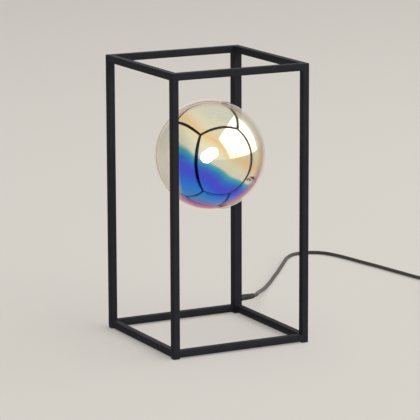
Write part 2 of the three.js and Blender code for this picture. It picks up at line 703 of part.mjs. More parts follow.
const switchEnd = SWITCH_CENTRE.y - SWITCH_LENGTH / 2 - BOOT_LENGTH - GAP;
const leadTop = SWITCH_HEIGHT / 2;
const leadRun = switchEnd - COIL_START.y - GAP;
const lead = [0, 0.2, 0.5, 0.8, 1].map((share) => new THREE.Vector3(
  SWITCH_CENTRE.x,
  switchEnd - leadRun * share,
  THREE.MathUtils.lerp(leadTop, COIL_LOW, THREE.MathUtils.smoothstep(share, 0, 1)),
));
add(lamp, 'cord_from_switch', cordStretch(lead, 6), cordSheath);

const tailStart = coilPath.at(-1).clone().addScaledVector(coilHeading, GAP);
const plugAxis = PLUG_THICKNESS / 2;
const tail = [0, 0.25, 0.5, 0.75, 1].map((share) => {
  const point = tailStart.clone().addScaledVector(coilHeading, TAIL_LENGTH * share);
  return point.setZ(THREE.MathUtils.lerp(tailStart.z, plugAxis, THREE.MathUtils.smoothstep(share, 0, 1)));
});
add(lamp, 'cord_to_plug', cordStretch(tail, 4), cordSheath);

// Tie: a flat strap round the bundle, opposite the coil's start

function coilTie() {
  const clear = CORD_RADIUS + 0.4;
  const top = COIL_LOW + COIL_STEP_UP + CORD_RADIUS + GAP;
  const inner = COIL_INNER - clear;
  const outer = COIL_OUTER + clear;
  const width = outer - inner + 2 * TIE_SHEET;
  const height = top + TIE_SHEET;
  const shape = roundedRectangle(width, height, 2.5);
  const hole = roundedRectangle(width - 2 * TIE_SHEET, height - 2 * TIE_SHEET, 1.9);
  shape.holes.push(new THREE.Path(hole.getPoints(3).reverse()));
  return prism(shape, TIE_WIDTH).rotateX(Math.PI / 2)
    .translate(-(inner + outer) / 2, TIE_WIDTH / 2, height / 2);
}

add(lamp, 'coil_tie', coilTie(), blackPlastic).position.set(COIL_CENTRE.x, COIL_CENTRE.y, 0);

// Inline switch, made along X and turned to lie along the cord

const inlineSwitch = new THREE.Group();
inlineSwitch.position.set(SWITCH_CENTRE.x, SWITCH_CENTRE.y, 0);
inlineSwitch.rotation.z = -Math.PI / 2;
const SWITCH_SCREWS = [[-20, 6.8], [20, -6.8]];

function switchShells() {
  const edge = 1.5;
  const outline = roundedRectangle(SWITCH_LENGTH, SWITCH_WIDTH, SWITCH_CORNER);
  const housing = new THREE.ExtrudeGeometry(outline, {
    depth: SWITCH_HEIGHT - 2 * edge, bevelThickness: edge, bevelSize: edge, bevelOffset: -edge,
    bevelSegments: 2, curveSegments: 4,
  }).translate(0, 0, edge);
  const inset = 2 * SWITCH_WALL;
  const cavity = prism(
    roundedRectangle(SWITCH_LENGTH - inset, SWITCH_WIDTH - inset, SWITCH_CORNER - SWITCH_WALL),
    SWITCH_HEIGHT - inset,
  ).translate(0, 0, SWITCH_WALL);
  const middle = SWITCH_HEIGHT / 2;
  const notch = rod(3.4, -SWITCH_LENGTH, SWITCH_LENGTH, 16).rotateZ(Math.PI / 2).translate(0, 0, middle);
  const bosses = SWITCH_SCREWS.map(([x, y]) => rod(3.2, 0, SWITCH_HEIGHT - 2, 12)
    .rotateX(Math.PI / 2).translate(x, y, 1));
  const shell = joined(cut(housing, cavity, notch), ...bosses);
  const half = (z0, z1) => box(-SWITCH_LENGTH, SWITCH_LENGTH, -SWITCH_WIDTH, SWITCH_WIDTH, z0, z1);
  const upright = (radius, z0, z1) => SWITCH_SCREWS.map(([x, y]) => rod(radius, z0, z1, 12)
    .rotateX(Math.PI / 2).translate(x, y, 0));
  const lower = cut(
    common(shell, half(-1, middle - GAP / 2)), ...upright(3, -1, 2.5), ...upright(1.6, 0, middle),
  );
  const pinHole = rod(1.3, -9, 9, 12).translate(0, 0, ROCKER_PIVOT);
  const cheeks = [-1, 1].map((side) => {
    const [y0, y1] = [side * 6.1, side * 7.9].sort((a, b) => a - b);
    return box(-4, 4, y0, y1, middle + GAP / 2, SWITCH_HEIGHT - 1);
  });
  const upperBody = joined(common(shell, half(middle + GAP / 2, SWITCH_HEIGHT + 1)), ...cheeks);
  const opening = box(-10.8, 10.8, -5.8, 5.8, SWITCH_HEIGHT - 3, SWITCH_HEIGHT + 1);
  const upper = cut(upperBody, opening, pinHole, ...upright(1.5, middle, SWITCH_HEIGHT - 3));
  return { lower, upper };
}

function switchRocker() {
  const side = [[10.4, -1], [9.4, 5.2], [8.2, 5.4], [4, 3.7], [0, 3.2]];
  const left = side.slice(0, -1).reverse().map(([x, z]) => [-x, z]);
  const outline = [...side, ...left, [-3, -4], [3, -4]];
  const shape = new THREE.Shape(outline.map(([x, z]) => new THREE.Vector2(x, z)));
  shape.holes.push(new THREE.Path().absarc(0, 0, 1.35, 0, 2 * Math.PI, true));
  return prism(shape, ROCKER_WIDTH, 4).rotateX(Math.PI / 2).translate(0, ROCKER_WIDTH / 2, 0)
    .rotateY(-ROCKER_TILT).translate(0, 0, ROCKER_PIVOT);
}

function boot() {
  // A strain relief that tapers away from its housing, with grooves that let it bend
  const profile = [[0, -4.4], [4.6, -4.4], [4.6, -2.4], [3.1, -2.4], [3.1, 0.3], [5.2, 0.3]];
  for (let y = 4; y < BOOT_LENGTH - 4; y += 5) {
    const radius = THREE.MathUtils.lerp(5.2, 3.6, y / BOOT_LENGTH);
    profile.push([radius, y], [radius - 0.8, y + 0.5], [radius - 0.8, y + 1.5], [radius - 0.2, y + 2]);
  }
  profile.push([3.4, BOOT_LENGTH], [0, BOOT_LENGTH]);
  return turned(profile, 16);
}

function switchScrew() {
  const profile = [[0, 0.5], [2.5, 0.5], [2.5, 1.6], [1.2, 2.2], [1.2, 13], [0, 14]];
  return turned(profile, 16).rotateX(Math.PI / 2);
}

function switchTerminal(side) {
  const foot = box(7, 18, -3, 3, SWITCH_WALL + GAP, SWITCH_WALL + GAP + 1);
  const blade = box(7, 8, -3, 3, SWITCH_WALL + GAP, 8);
  return joined(foot, blade).rotateZ(side < 0 ? Math.PI : 0);
}

const shells = switchShells();
add(inlineSwitch, 'switch_lower_shell', shells.lower, blackPlastic);
add(inlineSwitch, 'switch_upper_shell', shells.upper, blackPlastic);
add(inlineSwitch, 'switch_rocker', switchRocker(), blackPlastic);
add(inlineSwitch, 'rocker_pin', rod(1, -7.6, 7.6, 12), steel).position.z = ROCKER_PIVOT;
for (const [name, side, [x, y]] of [['first', -1, SWITCH_SCREWS[0]], ['second', 1, SWITCH_SCREWS[1]]]) {
  add(inlineSwitch, `switch_${name}_screw`, switchScrew(), steel).position.set(x, y, 0);
  add(inlineSwitch, `switch_${name}_terminal`, switchTerminal(side), brass);
  add(inlineSwitch, `switch_${name}_boot`, boot().rotateZ(-side * Math.PI / 2), blackPlastic)
    .position.set(side * SWITCH_LENGTH / 2, 0, SWITCH_HEIGHT / 2);
}
lamp.add(inlineSwitch);

// Plug, made along X with its pins pointing to +X

const plug = new THREE.Group();
const plugStart = tail.at(-1).clone().addScaledVector(coilHeading, GAP + BOOT_LENGTH);
plug.position.set(plugStart.x, plugStart.y, 0);
plug.rotation.z = Math.atan2(coilHeading.y, coilHeading.x);

function plugBody() {
  const edge = 2;
  const shape = new THREE.Shape();
  shape.moveTo(0, -6).lineTo(6, -7);
  shape.bezierCurveTo(13, -9, 13, -PLUG_HALF_WIDTH, 22, -PLUG_HALF_WIDTH);
  shape.lineTo(PLUG_LENGTH - 2, -PLUG_HALF_WIDTH).lineTo(PLUG_LENGTH, 2 - PLUG_HALF_WIDTH);
  shape.lineTo(PLUG_LENGTH, PLUG_HALF_WIDTH - 2).lineTo(PLUG_LENGTH - 2, PLUG_HALF_WIDTH);
  shape.lineTo(22, PLUG_HALF_WIDTH).bezierCurveTo(13, PLUG_HALF_WIDTH, 13, 9, 6, 7);
  shape.lineTo(0, 6).lineTo(0, -6);
  const body = new THREE.ExtrudeGeometry(shape, {
    depth: PLUG_THICKNESS - 2 * edge, bevelThickness: edge, bevelSize: edge, bevelOffset: -edge,
    bevelSegments: 2, curveSegments: 6,
  }).translate(0, 0, edge);
  const relief = turned([
    [0, -4], [4.6, -4], [5.2, 0], [4.6, 6], [4.9, 7], [4.3, 12], [4.5, 13], [3.9, 18], [3.4, BOOT_LENGTH],
    [0, BOOT_LENGTH],
  ], 20).rotateZ(Math.PI / 2).translate(0, 0, PLUG_THICKNESS / 2);
  return joined(body, relief);
}

function plugPin() {
  const radius = PLUG_PIN_RADIUS;
  return turned([
    [0, 0], [radius, 0], [radius, PLUG_PIN_LENGTH - radius],
    ...arc(0, PLUG_PIN_LENGTH - radius, radius, 0, Math.PI / 2, 3).slice(1, -1), [0, PLUG_PIN_LENGTH],
  ], 16).rotateZ(-Math.PI / 2);
}

add(plug, 'plug_body', plugBody(), blackPlastic);
for (const [name, side] of [['left', 1], ['right', -1]]) {
  add(plug, `${name}_plug_pin`, plugPin(), steel)
    .position.set(PLUG_LENGTH + GAP, side * PLUG_PIN_SPREAD, PLUG_THICKNESS / 2);
}
lamp.add(plug);

export default lamp;
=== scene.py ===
"""Glass orb table lamp: the finishes, fine surfaces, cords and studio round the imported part.

Sizes are in millimetres and turned to metres where a mesh is made. The origin is on the table, under the
middle of the cage, with +Z up.
"""

import logging
import math
from dataclasses import dataclass, field
from enum import StrEnum, auto
from itertools import product
from typing import Callable, Iterable, Sequence

import bmesh
import bpy
from mathutils import Matrix, Vector

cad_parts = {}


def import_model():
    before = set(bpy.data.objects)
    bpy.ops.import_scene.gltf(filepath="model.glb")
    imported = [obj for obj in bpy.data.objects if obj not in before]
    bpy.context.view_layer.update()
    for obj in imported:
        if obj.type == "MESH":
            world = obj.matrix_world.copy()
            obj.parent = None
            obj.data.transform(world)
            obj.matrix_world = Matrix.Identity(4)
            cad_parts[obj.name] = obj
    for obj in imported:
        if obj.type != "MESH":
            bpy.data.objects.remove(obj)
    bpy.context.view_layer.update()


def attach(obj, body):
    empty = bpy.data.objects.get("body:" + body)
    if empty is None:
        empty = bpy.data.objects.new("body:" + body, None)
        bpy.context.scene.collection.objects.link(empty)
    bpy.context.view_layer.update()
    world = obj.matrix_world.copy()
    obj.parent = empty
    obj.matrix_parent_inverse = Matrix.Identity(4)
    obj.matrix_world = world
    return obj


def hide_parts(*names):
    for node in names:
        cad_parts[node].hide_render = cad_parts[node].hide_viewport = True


LOG = logging.getLogger("lamp")
MM = 0.001

# Millimetres within which a point counts as on the axis
ON_AXIS = 1e-6

# Values that the noise texture seldom passes
NOISE_ENDS = (0.3, 0.7)
EASED = {"interpolation_type": "SMOOTHSTEP"}

Point = tuple[float, float]
Place = tuple[float, float, float]
# A value's start and end, then what it is at each
Step = tuple[float, float, float, float]
Profile = list[Point]
Node = bpy.types.Node
Object = bpy.types.Object
Socket = bpy.types.NodeSocket
Tree = bpy.types.NodeTree


class Body(StrEnum):
    """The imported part's moving bodies, each named as its member in small letters."""

    LAMP = auto()
    GASKET = auto()
    GLOBE = auto()
    BULB = auto()
    ROCKER = auto()


class Slot(StrEnum):
    """The record's material slots, named in the same way."""

    POWDER_COAT = auto()
    COATED_GLASS = auto()
    CLEAR_GLASS = auto()
    STEEL = auto()
    BRASS = auto()
    CERAMIC = auto()
    LED_BOARD = auto()
    BLACK_PLASTIC = auto()
    CORD_SHEATH = auto()
    SILICONE = auto()
    BROWN_CORE = auto()
    BLUE_CORE = auto()


# Colours and node trees


def linear(colour: str) -> tuple[float, float, float, float]:
    """Turns an sRGB hex colour to linear light.

    Args:
        colour: Six hex digits with a leading hash.

    Returns:
        Red, green, blue and a full alpha.
    """
    channels = [int(colour[i : i + 2], 16) / 255 for i in (1, 3, 5)]
    r, g, b = (c / 12.92 if c <= 0.04045 else ((c + 0.055) / 1.055) ** 2.4 for c in channels)
    return r, g, b, 1.0


def tinted(colour: str, gain: float) -> str:
    """Makes a hex colour lighter or darker by a gain on each channel."""
    channels = [min(255, round(int(colour[i : i + 2], 16) * gain)) for i in (1, 3, 5)]
    return "#" + "".join(f"{c:02x}" for c in channels)


def grey(level: float) -> tuple[float, float, float, float]:
    """Gives a linear grey."""
    return level, level, level, 1.0


def add_node(tree: Tree, kind: str, inputs: dict | Sequence = (), **settings: object) -> Node:
    """Adds a node with its settings, input values and links.

    Args:
        tree: The tree that gets the node.
        kind: The node's class name.
        inputs: Values or sources by the input's name or number, or in the inputs' order. A node as a source
            stands for its first output that is in use.
        settings: Properties of the node.

    Returns:
        The new node.
    """
    node = tree.nodes.new(kind)
    for name, value in settings.items():
        setattr(node, name, value)
    for key, value in inputs.items() if isinstance(inputs, dict) else enumerate(inputs):
        if isinstance(value, Node):
            value = next(socket for socket in value.outputs if socket.enabled)
        if isinstance(value, Socket):
            tree.links.new(value, node.inputs[key])
        else:
            node.inputs[key].default_value = value
    return node


def place(tree: Tree, stretch: Sequence[float] = (1, 1, 1)) -> Node:
    """Adds a point's place on the object in millimetres.

    Args:
        tree: The tree that gets the nodes.
        stretch: Scale of each axis, to draw a pattern out along one of them.

    Returns:
        The node that gives the place.
    """
    where = add_node(tree, "ShaderNodeTexCoord").outputs["Object"]
    return add_node(tree, "ShaderNodeMapping", {"Vector": where, "Scale": [s / MM for s in stretch]})


def mottle(tree: Tree, grain: float, detail: float = 3.0, stretch: Sequence[float] = (1, 1, 1)) -> Node:
    """Adds soft blotches of a real size, fixed to the object.

    Args:
        tree: The tree that gets the nodes.
        grain: Size of a blotch in millimetres.
        detail: Octaves of finer noise.
        stretch: Scale of each axis.

    Returns:
        The node that gives a value about 0.5.
    """
    inputs = {"Vector": place(tree, stretch), "Scale": 1 / grain, "Detail": detail}
    return add_node(tree, "ShaderNodeTexNoise", inputs)


# Finishes


@dataclass(frozen=True)
class Finish:
    """A surface's finish. A subclass adds its nodes in shade()."""

    name: str
    slot: Slot

    def shade(self, tree: Tree) -> Node:
        """Adds the finish's nodes and returns its shader."""
        raise NotImplementedError

    def material(self) -> bpy.types.Material:
        """Returns the finish's material, made the first time it is asked for."""
        made = bpy.data.materials.get(self.name)
        if made:
            return made
        made = bpy.data.materials.new(self.name)
        made.use_nodes = True
        made.node_tree.nodes.clear()
        shader = self.shade(made.node_tree)
        add_node(made.node_tree, "ShaderNodeOutputMaterial", {"Surface": shader})
        return made

    def skin(self, tree: Tree, tint: Node, colours: tuple[str, str], gloss: Node, rough: Point, height: Node,
             depth: float, others: dict | None = None) -> Node:
        """Adds a surface whose colour, gloss and relief each follow a pattern.

        Args:
            tree: The material's tree.
            tint: Pattern that mixes the two colours.
            colours: The two hex colours.
            gloss: Pattern of the roughness.
            rough: Roughness at the pattern's two ends.
            height: Pattern of the relief.
            depth: Real height of the relief in millimetres.
            others: The shader's other inputs.

        Returns:
            The shader.
        """
        mix = {0: tint, 6: linear(colours[0]), 7: linear(colours[1])}
        inputs = {
            "Base Color": add_node(tree, "ShaderNodeMix", mix, data_type="RGBA"),
            "Roughness": add_node(tree, "ShaderNodeMapRange", (gloss, *NOISE_ENDS, *rough)),
            "Normal": add_node(tree, "ShaderNodeBump", {"Height": height, "Distance": depth * MM}),
        }
        return add_node(tree, "ShaderNodeBsdfPrincipled", inputs | (others or {}))


@dataclass(frozen=True)
class PowderCoat(Finish):
    """Fine-texture polyester powder on steel: a satin black whose sheen a faint orange peel breaks up. Its
    grit traps slanting light, so that the edges stay dark, which the low IOR gives. The grit is drawn
    coarser than it is, to show."""

    colour: str = "#2a2a31"
    worn: str = "#333339"
    ior: float = 1.09
    cloud: float = 18.0
    peel: float = 1.4
    grit: float = 0.45
    rough: Point = (0.44, 0.56)
    relief: float = 0.02

    def shade(self, tree: Tree) -> Node:
        """Adds the cloudy colour, the uneven gloss and two sizes of relief."""
        cloud = mottle(tree, self.cloud, 2.0)
        peel = mottle(tree, self.peel)
        height = add_node(tree, "ShaderNodeMath", (peel, mottle(tree, self.grit, 1.0)), operation="ADD")
        colours = (self.colour, self.worn)
        return self.skin(tree, cloud, colours, peel, self.rough, height, self.relief, {"IOR": self.ior})


@dataclass(frozen=True)
class MouldedPlastic(Finish):
    """Injection-moulded plastic from a spark-eroded tool: an even grain, drawn coarse enough to show, and a
    soft sheen."""

    colour: str = "#151517"
    polished: float = 0.42
    dull: float = 0.55
    grain: float = 0.35
    depth: float = 0.015
    flow: float = 9.0

    def shade(self, tree: Tree) -> Node:
        """Adds the grain as cells and the slow change of gloss where the melt met the tool."""
        cells = add_node(tree, "ShaderNodeTexVoronoi", {"Vector": place(tree), "Scale": 1 / self.grain})
        flow = mottle(tree, self.flow, 2.0)
        colours = (self.colour, tinted(self.colour, 1.25))
        return self.skin(tree, flow, colours, flow, (self.polished, self.dull), cells, self.depth)


@dataclass(frozen=True)
class WorkedMetal(Finish):
    """Bare or plated metal with the fine lines that turning, rolling or drawing leaves along one axis."""

    colour: str = "#c3c6c9"
    shade_colour: str = "#a8abb0"
    rough: float = 0.24
    line: float = 0.12
    along: Place = (1, 0.05, 1)
    cloud: float = 3.0
    relief: float = 0.004

    def shade(self, tree: Tree) -> Node:
        """Adds tool lines drawn out along one axis and a cloudy plating."""
        lines = mottle(tree, self.line, 2.0, self.along)
        colours = (self.shade_colour, self.colour)
        rough = (self.rough, self.rough + 0.16)
        cloud = mottle(tree, self.cloud)
        return self.skin(tree, cloud, colours, lines, rough, lines, self.relief, {"Metallic": 1.0})


@dataclass(frozen=True)
class Steatite(Finish):
    """Pressed and fired steatite: a matt off-white body with tiny iron specks and a sandy skin."""

    colour: str = "#e8e3d6"
    speck: str = "#b9ae98"
    speck_size: float = 0.5
    sand: float = 0.25
    rough: Point = (0.5, 0.68)
    relief: float = 0.015

    def shade(self, tree: Tree) -> Node:
        """Adds the specks, only where the noise is at its highest, and the sandy relief."""
        noise = mottle(tree, self.speck_size, 2.0)
        specks = add_node(tree, "ShaderNodeMapRange", (noise, *NOISE_ENDS, -2.2, 1.0))
        sand = mottle(tree, self.sand)
        return self.skin(tree, specks, (self.colour, self.speck), sand, self.rough, sand, self.relief)


@dataclass(frozen=True)
class Rubber(Finish):
    """Silicone or soft vinyl: cloudy colour under a smooth, slightly greasy skin."""

    colour: str = "#c9cdd0"
    rough: float = 0.5
    haze: float = 0.35
    cloud: float = 2.2
    haze_depth: float = 1.5

    def shade(self, tree: Tree) -> Node:
        """Adds the cloudy depth and the skin's uneven gloss."""
        cloud = mottle(tree, self.cloud)
        colours = (self.colour, tinted(self.colour, 0.88))
        rough = (self.rough - 0.08, self.rough + 0.08)
        haze = {"Subsurface Weight": self.haze, "Subsurface Scale": self.haze_depth * MM}
        return self.skin(tree, cloud, colours, cloud, rough, mottle(tree, 0.6), 0.006, haze)


@dataclass(frozen=True)
class CordSheath(Finish):
    """Extruded vinyl sheath: dull black-brown, with dust that pales it and draw lines that run along it,
    drawn coarser than the real ones, which are too fine to show."""

    colour: str = "#221f1c"
    dusty: str = "#39342d"
    draw_lines: float = 26.0
    breaks: float = 9.0
    dust: float = 5.0

    def shade(self, tree: Tree) -> Node:
        """Adds the draw lines on the piece's own UV map and the blotchy dust."""
        along = add_node(tree, "ShaderNodeUVMap", uv_map="along")
        inputs = {"Vector": along, "Scale": (self.draw_lines, self.breaks, 1.0)}
        drawn = add_node(tree, "ShaderNodeMapping", inputs)
        lines = add_node(tree, "ShaderNodeTexNoise", {"Vector": drawn, "Scale": 1.0, "Detail": 3.0})
        dust = add_node(tree, "ShaderNodeMapRange", (mottle(tree, self.dust), *NOISE_ENDS, 0.0, 1.0))
        return self.skin(tree, dust, (self.colour, self.dusty), lines, (0.42, 0.62), lines, 0.03)


@dataclass(frozen=True)
class ClearGlass(Finish):
    """Blown borosilicate glass, clear: it shows by its reflection, which grows towards its edge."""

    least: float = 0.04
    wave: float = 26.0
    wave_depth: float = 0.12
    edge_tint: str = "#fbe8de"
    through: str = "#fbfcf9"

    def shade(self, tree: Tree) -> Node:
        """Adds a see-through skin with a slow blown wave, whose mirror part grows as Schlick's law says."""
        wave = {"Height": mottle(tree, self.wave, 1.0), "Distance": self.wave_depth * MM}
        inputs = {
            "Base Color": linear(self.edge_tint),
            "Metallic": 1.0,
            "Roughness": 0.02,
            "Normal": add_node(tree, "ShaderNodeBump", wave),
        }
        mirror = add_node(tree, "ShaderNodeBsdfPrincipled", inputs)
        through = add_node(tree, "ShaderNodeBsdfTransparent", (linear(self.through),))
        facing = add_node(tree, "ShaderNodeLayerWeight", {"Blend": 0.5}).outputs["Facing"]
        steep = add_node(tree, "ShaderNodeMath", (facing, 5.0), operation="POWER")
        share = (steep, 1 - self.least, self.least)
        share = add_node(tree, "ShaderNodeMath", share, operation="MULTIPLY_ADD")
        return add_node(tree, "ShaderNodeMixShader", (share, through, mirror))


@dataclass(frozen=True)
class Band:
    """One band of the mirror coat.

    Its place runs from foot to crown. It has the colour that it throws back, how much of the light it throws
    back, and the colour that it lets through, which is the opposite one.
    """

    place: float
    colour: str
    cover: float
    through: str


@dataclass(frozen=True)
class MirrorCoat(Finish):
    """Vacuum-deposited oxide mirror inside the globe.

    Its thickness grows across the globe, so its interference colour runs from pale straw over peach and blue
    to magenta. It all but ends on the thin side. A fine dark line of painted shade, standing in for the dark
    edge that refraction in the glass wall gives, lies where the globe is seen edge on, on its half towards
    -X,
    +Y and up.
    """

    centre: Place = (0.0, -9.0, 247.5)
    radius: float = 74.0
    rise: Place = (0.46, -0.236, 0.856)
    drift: float = 0.06
    drift_size: float = 70.0
    bands: tuple[Band, ...] = (
        Band(0.03, "#d060a8", 0.86, "#e8d8d0"),
        Band(0.09, "#9055d0", 0.88, "#e8dcc0"),
        Band(0.16, "#1f96ea", 0.95, "#ecdcb8"),
        Band(0.26, "#0a7cf4", 0.97, "#ecdcb8"),
        Band(0.33, "#3058f4", 0.97, "#ecdcb8"),
        Band(0.39, "#4a4cf0", 0.96, "#ecdcb8"),
        Band(0.45, "#1480ec", 0.94, "#ecdcc8"),
        Band(0.505, "#4cc4d2", 0.84, "#e8d8dc"),
        Band(0.535, "#fffbe2", 0.86, "#d2c8ee"),
        Band(0.62, "#fff8d6", 0.9, "#ccc6f0"),
        Band(0.7, "#ffdca4", 0.9, "#ccd4f0"),
        Band(0.78, "#fff8de", 0.8, "#f0f2f6"),
        Band(0.9, "#fbfbe6", 0.66, "#fdfcf6"),
    )
    rim_step: Step = (0.5, 0.78, 0.0, 1.0)
    rim: tuple[Band, ...] = (
        Band(0.06, "#d058a4", 0.84, "#f4e6de"),
        Band(0.2, "#c0569e", 0.82, "#f4e6de"),
        Band(0.31, "#c4669c", 0.72, "#f4e6de"),
        Band(0.38, "#eab09c", 0.5, "#f8ece4"),
        Band(0.5, "#f0c6a2", 0.44, "#faf0e6"),
        Band(0.74, "#f2dcc4", 0.32, "#fbf6ee"),
        Band(0.95, "#f8dcd4", 0.34, "#fbf5f0"),
    )
    thin: Band = Band(0.0, "#fdf1de", 0.06, "#fffefa")
    thin_side: Place = (-0.889, 0.457, -0.1)
    thin_step: Step = (0.77, 0.85, 0.0, 0.93)
    # Colour of the painted shade line along the globe's edge-on outline
    line: Band = Band(0.0, "#7a4a38", 0.9, "#7a4a38")
    painted_shade_line_side: Place = (-0.78, 0.4, 0.48)
    painted_shade_line_step: Step = (0.8, 0.9, 0.0, 0.9)
    painted_shade_line_side_step: Step = (0.45, 0.75, 0.0, 1.0)

    def share_along(self, tree: Tree, direction: Sequence[float], drift: float) -> Node:
        """Adds the place across the globe, from 0 to 1.

        Args:
            tree: The material's tree.
            direction: The direction in which the share grows.
            drift: How far the slow unevenness of a tumbled globe moves it.

        Returns:
            The node that gives the share.
        """
        out = add_node(tree, "ShaderNodeVectorMath", (place(tree), self.centre), operation="SUBTRACT")
        rise = (out, Vector(direction).normalized())
        height = add_node(tree, "ShaderNodeVectorMath", rise, operation="DOT_PRODUCT")
        share = add_node(tree, "ShaderNodeMapRange", (height, -self.radius, self.radius))
        cloud = mottle(tree, self.drift_size, 1.0)
        shift = add_node(tree, "ShaderNodeMapRange", (cloud, *NOISE_ENDS, -drift, drift))
        return add_node(tree, "ShaderNodeMath", (share, shift), operation="ADD")

    def banded(self, tree: Tree, share: Node, bands: Sequence[Band]) -> list[Node]:
        """Adds colour ramps for the colour, the cover and the see-through colour of a row of bands."""
        ramps = []
        for colours in zip(*((linear(b.colour), grey(b.cover), linear(b.through)) for b in bands)):
            ramp = add_node(tree, "ShaderNodeValToRGB", (share,))
            stops = ramp.color_ramp.elements
            while len(stops) < len(bands):
                stops.new(0.5)
            for stop, band, colour in zip(stops, bands, colours):
                stop.position = band.place
                stop.color = colour
            ramps.append(ramp)
        return ramps

    def over(self, tree: Tree, share: Node, under: Sequence[Node], top: Sequence[Node] | Band) -> list[Node]:
        """Mixes a row of bands, or one even band, over another row."""
        if isinstance(top, Band):
            top = (linear(top.colour), grey(top.cover), linear(top.through))
        inputs = [{0: share, 6: low, 7: high} for low, high in zip(under, top)]
        return [add_node(tree, "ShaderNodeMix", each, data_type="RGBA") for each in inputs]

    def shade(self, tree: Tree) -> Node:
        """Adds the banded mirror, its edge-on rim, its thin side and the fine dark line of painted shade."""
        looks = self.banded(tree, self.share_along(tree, self.rise, self.drift), self.bands)
        facing = add_node(tree, "ShaderNodeLayerWeight", {"Blend": 0.5}).outputs["Facing"]
        edge = add_node(tree, "ShaderNodeMapRange", (facing, *self.rim_step), **EASED)
        rim = self.banded(tree, self.share_along(tree, (0, 0, 1), 0.0), self.rim)
        looks = self.over(tree, edge, looks, rim)
        thin = (self.share_along(tree, self.thin_side, 0.02), *self.thin_step)
        thin = add_node(tree, "ShaderNodeMapRange", thin, **EASED)
        looks = self.over(tree, thin, looks, self.thin)
        # Painted shade: a brown line at grazing angles, only on the half towards -X, +Y and up, stands in for
        # the dark edge that refraction in the glass wall gives
        side = (self.share_along(tree, self.painted_shade_line_side, 0.0), *self.painted_shade_line_side_step)
        side = add_node(tree, "ShaderNodeMapRange", side, **EASED)
        line = add_node(tree, "ShaderNodeMapRange", (facing, *self.painted_shade_line_step), **EASED)
        line = add_node(tree, "ShaderNodeMath", (line, side), operation="MULTIPLY")
        colour, cover, through = self.over(tree, line, looks, self.line)
        inputs = {"Base Color": colour, "Metallic": 1.0, "Roughness": 0.03}
        mirror = add_node(tree, "ShaderNodeBsdfPrincipled", inputs)
        clear = add_node(tree, "ShaderNodeBsdfTransparent", {"Color": through})
        return add_node(tree, "ShaderNodeMixShader", (cover, clear, mirror))


@dataclass(frozen=True)
class LitEnvelope(Finish):
    """Frosted capsule over the lit board: the glass itself glows, warm white."""

    colour: str = "#f4f1ea"
    glow: str = "#fff1dc"
    strength: float = 26.0
    frost: float = 0.8
    rough: Point = (0.35, 0.5)

    def shade(self, tree: Tree) -> Node:
        """Adds the glow and the frost's blotchy gloss."""
        frost = mottle(tree, self.frost)
        inputs = {
            "Base Color": linear(self.colour),
            "Roughness": add_node(tree, "ShaderNodeMapRange", (frost, *NOISE_ENDS, *self.rough)),
            "Emission Color": linear(self.glow),
            "Emission Strength": self.strength,
        }
        return add_node(tree, "ShaderNodeBsdfPrincipled", inputs)


@dataclass(frozen=True)
class Stage(Finish):
    """Plain pale studio paper, a little lifted for the camera and more for glass and metal, which then show
    it as pale as it looks."""

    colour: str = "#dad6d0"
    lifted: str = "#e6e2dc"
    camera_share: float = 0.35
    mirror_share: float = 0.9

    def shade(self, tree: Tree) -> Node:
        """Adds matt paper, and its own level by the kind of ray."""
        inputs = {"Base Color": linear(self.colour), "Roughness": 0.9, "Specular IOR Level": 0.1}
        paper = add_node(tree, "ShaderNodeBsdfPrincipled", inputs)
        level = add_node(tree, "ShaderNodeEmission", (linear(self.lifted), 1.0))
        rays = add_node(tree, "ShaderNodeLightPath").outputs
        kinds = (rays["Is Glossy Ray"], rays["Is Transmission Ray"])
        mirrored = add_node(tree, "ShaderNodeMath", kinds, operation="MAXIMUM")
        seen = (rays["Is Camera Ray"], self.camera_share)
        seen = add_node(tree, "ShaderNodeMath", seen, operation="MULTIPLY")
        share = (mirrored, self.mirror_share, seen)
        share = add_node(tree, "ShaderNodeMath", share, operation="MULTIPLY_ADD")
        return add_node(tree, "ShaderNodeMixShader", (share, paper, level))


POWDER = PowderCoat("fine_texture_black_powder_coat", Slot.POWDER_COAT)
GLASS = ClearGlass("clear_blown_borosilicate_glass", Slot.COATED_GLASS)
COAT = MirrorCoat("interference_mirror_coat", Slot.COATED_GLASS)
ENVELOPE = LitEnvelope("lit_frosted_capsule_glass", Slot.CLEAR_GLASS)
ZINC = WorkedMetal("zinc_plated_steel", Slot.STEEL)
BRASS = WorkedMetal("rolled_brass_strip", Slot.BRASS, "#d9b76a", "#b8934a", 0.26)
STEATITE = Steatite("fired_steatite", Slot.CERAMIC)
BOARD = Rubber("yellow_phosphor_coat", Slot.LED_BOARD, "#f3dc8e", 0.6, 0.1)
PLASTIC = MouldedPlastic("moulded_black_nylon", Slot.BLACK_PLASTIC)
SOFT_PLASTIC = MouldedPlastic("moulded_black_soft_vinyl", Slot.BLACK_PLASTIC, "#191817", 0.5, 0.64, 0.5)
GLOSS = MouldedPlastic("polished_black_moulding", Slot.BLACK_PLASTIC, "#131315", 0.2, 0.3, 0.6, 0.003)
INK = MouldedPlastic("pad_printed_white_ink", Slot.BLACK_PLASTIC, "#c9c9c6", 0.5, 0.6, 0.3, 0.004)
NICKEL = WorkedMetal("nickel_plated_brass", Slot.STEEL, "#d2cdc2", "#b9b4a8", 0.14, 0.2)
SHEATH = CordSheath("extruded_vinyl_sheath", Slot.CORD_SHEATH)
SILICONE = Rubber("clear_grey_silicone", Slot.SILICONE)
BROWN = Rubber("brown_core_insulation", Slot.BROWN_CORE, "#5b3a22", 0.45, 0.05)
BLUE = Rubber("blue_core_insulation", Slot.BLUE_CORE, "#2b5c9e", 0.45, 0.05)


# Forms


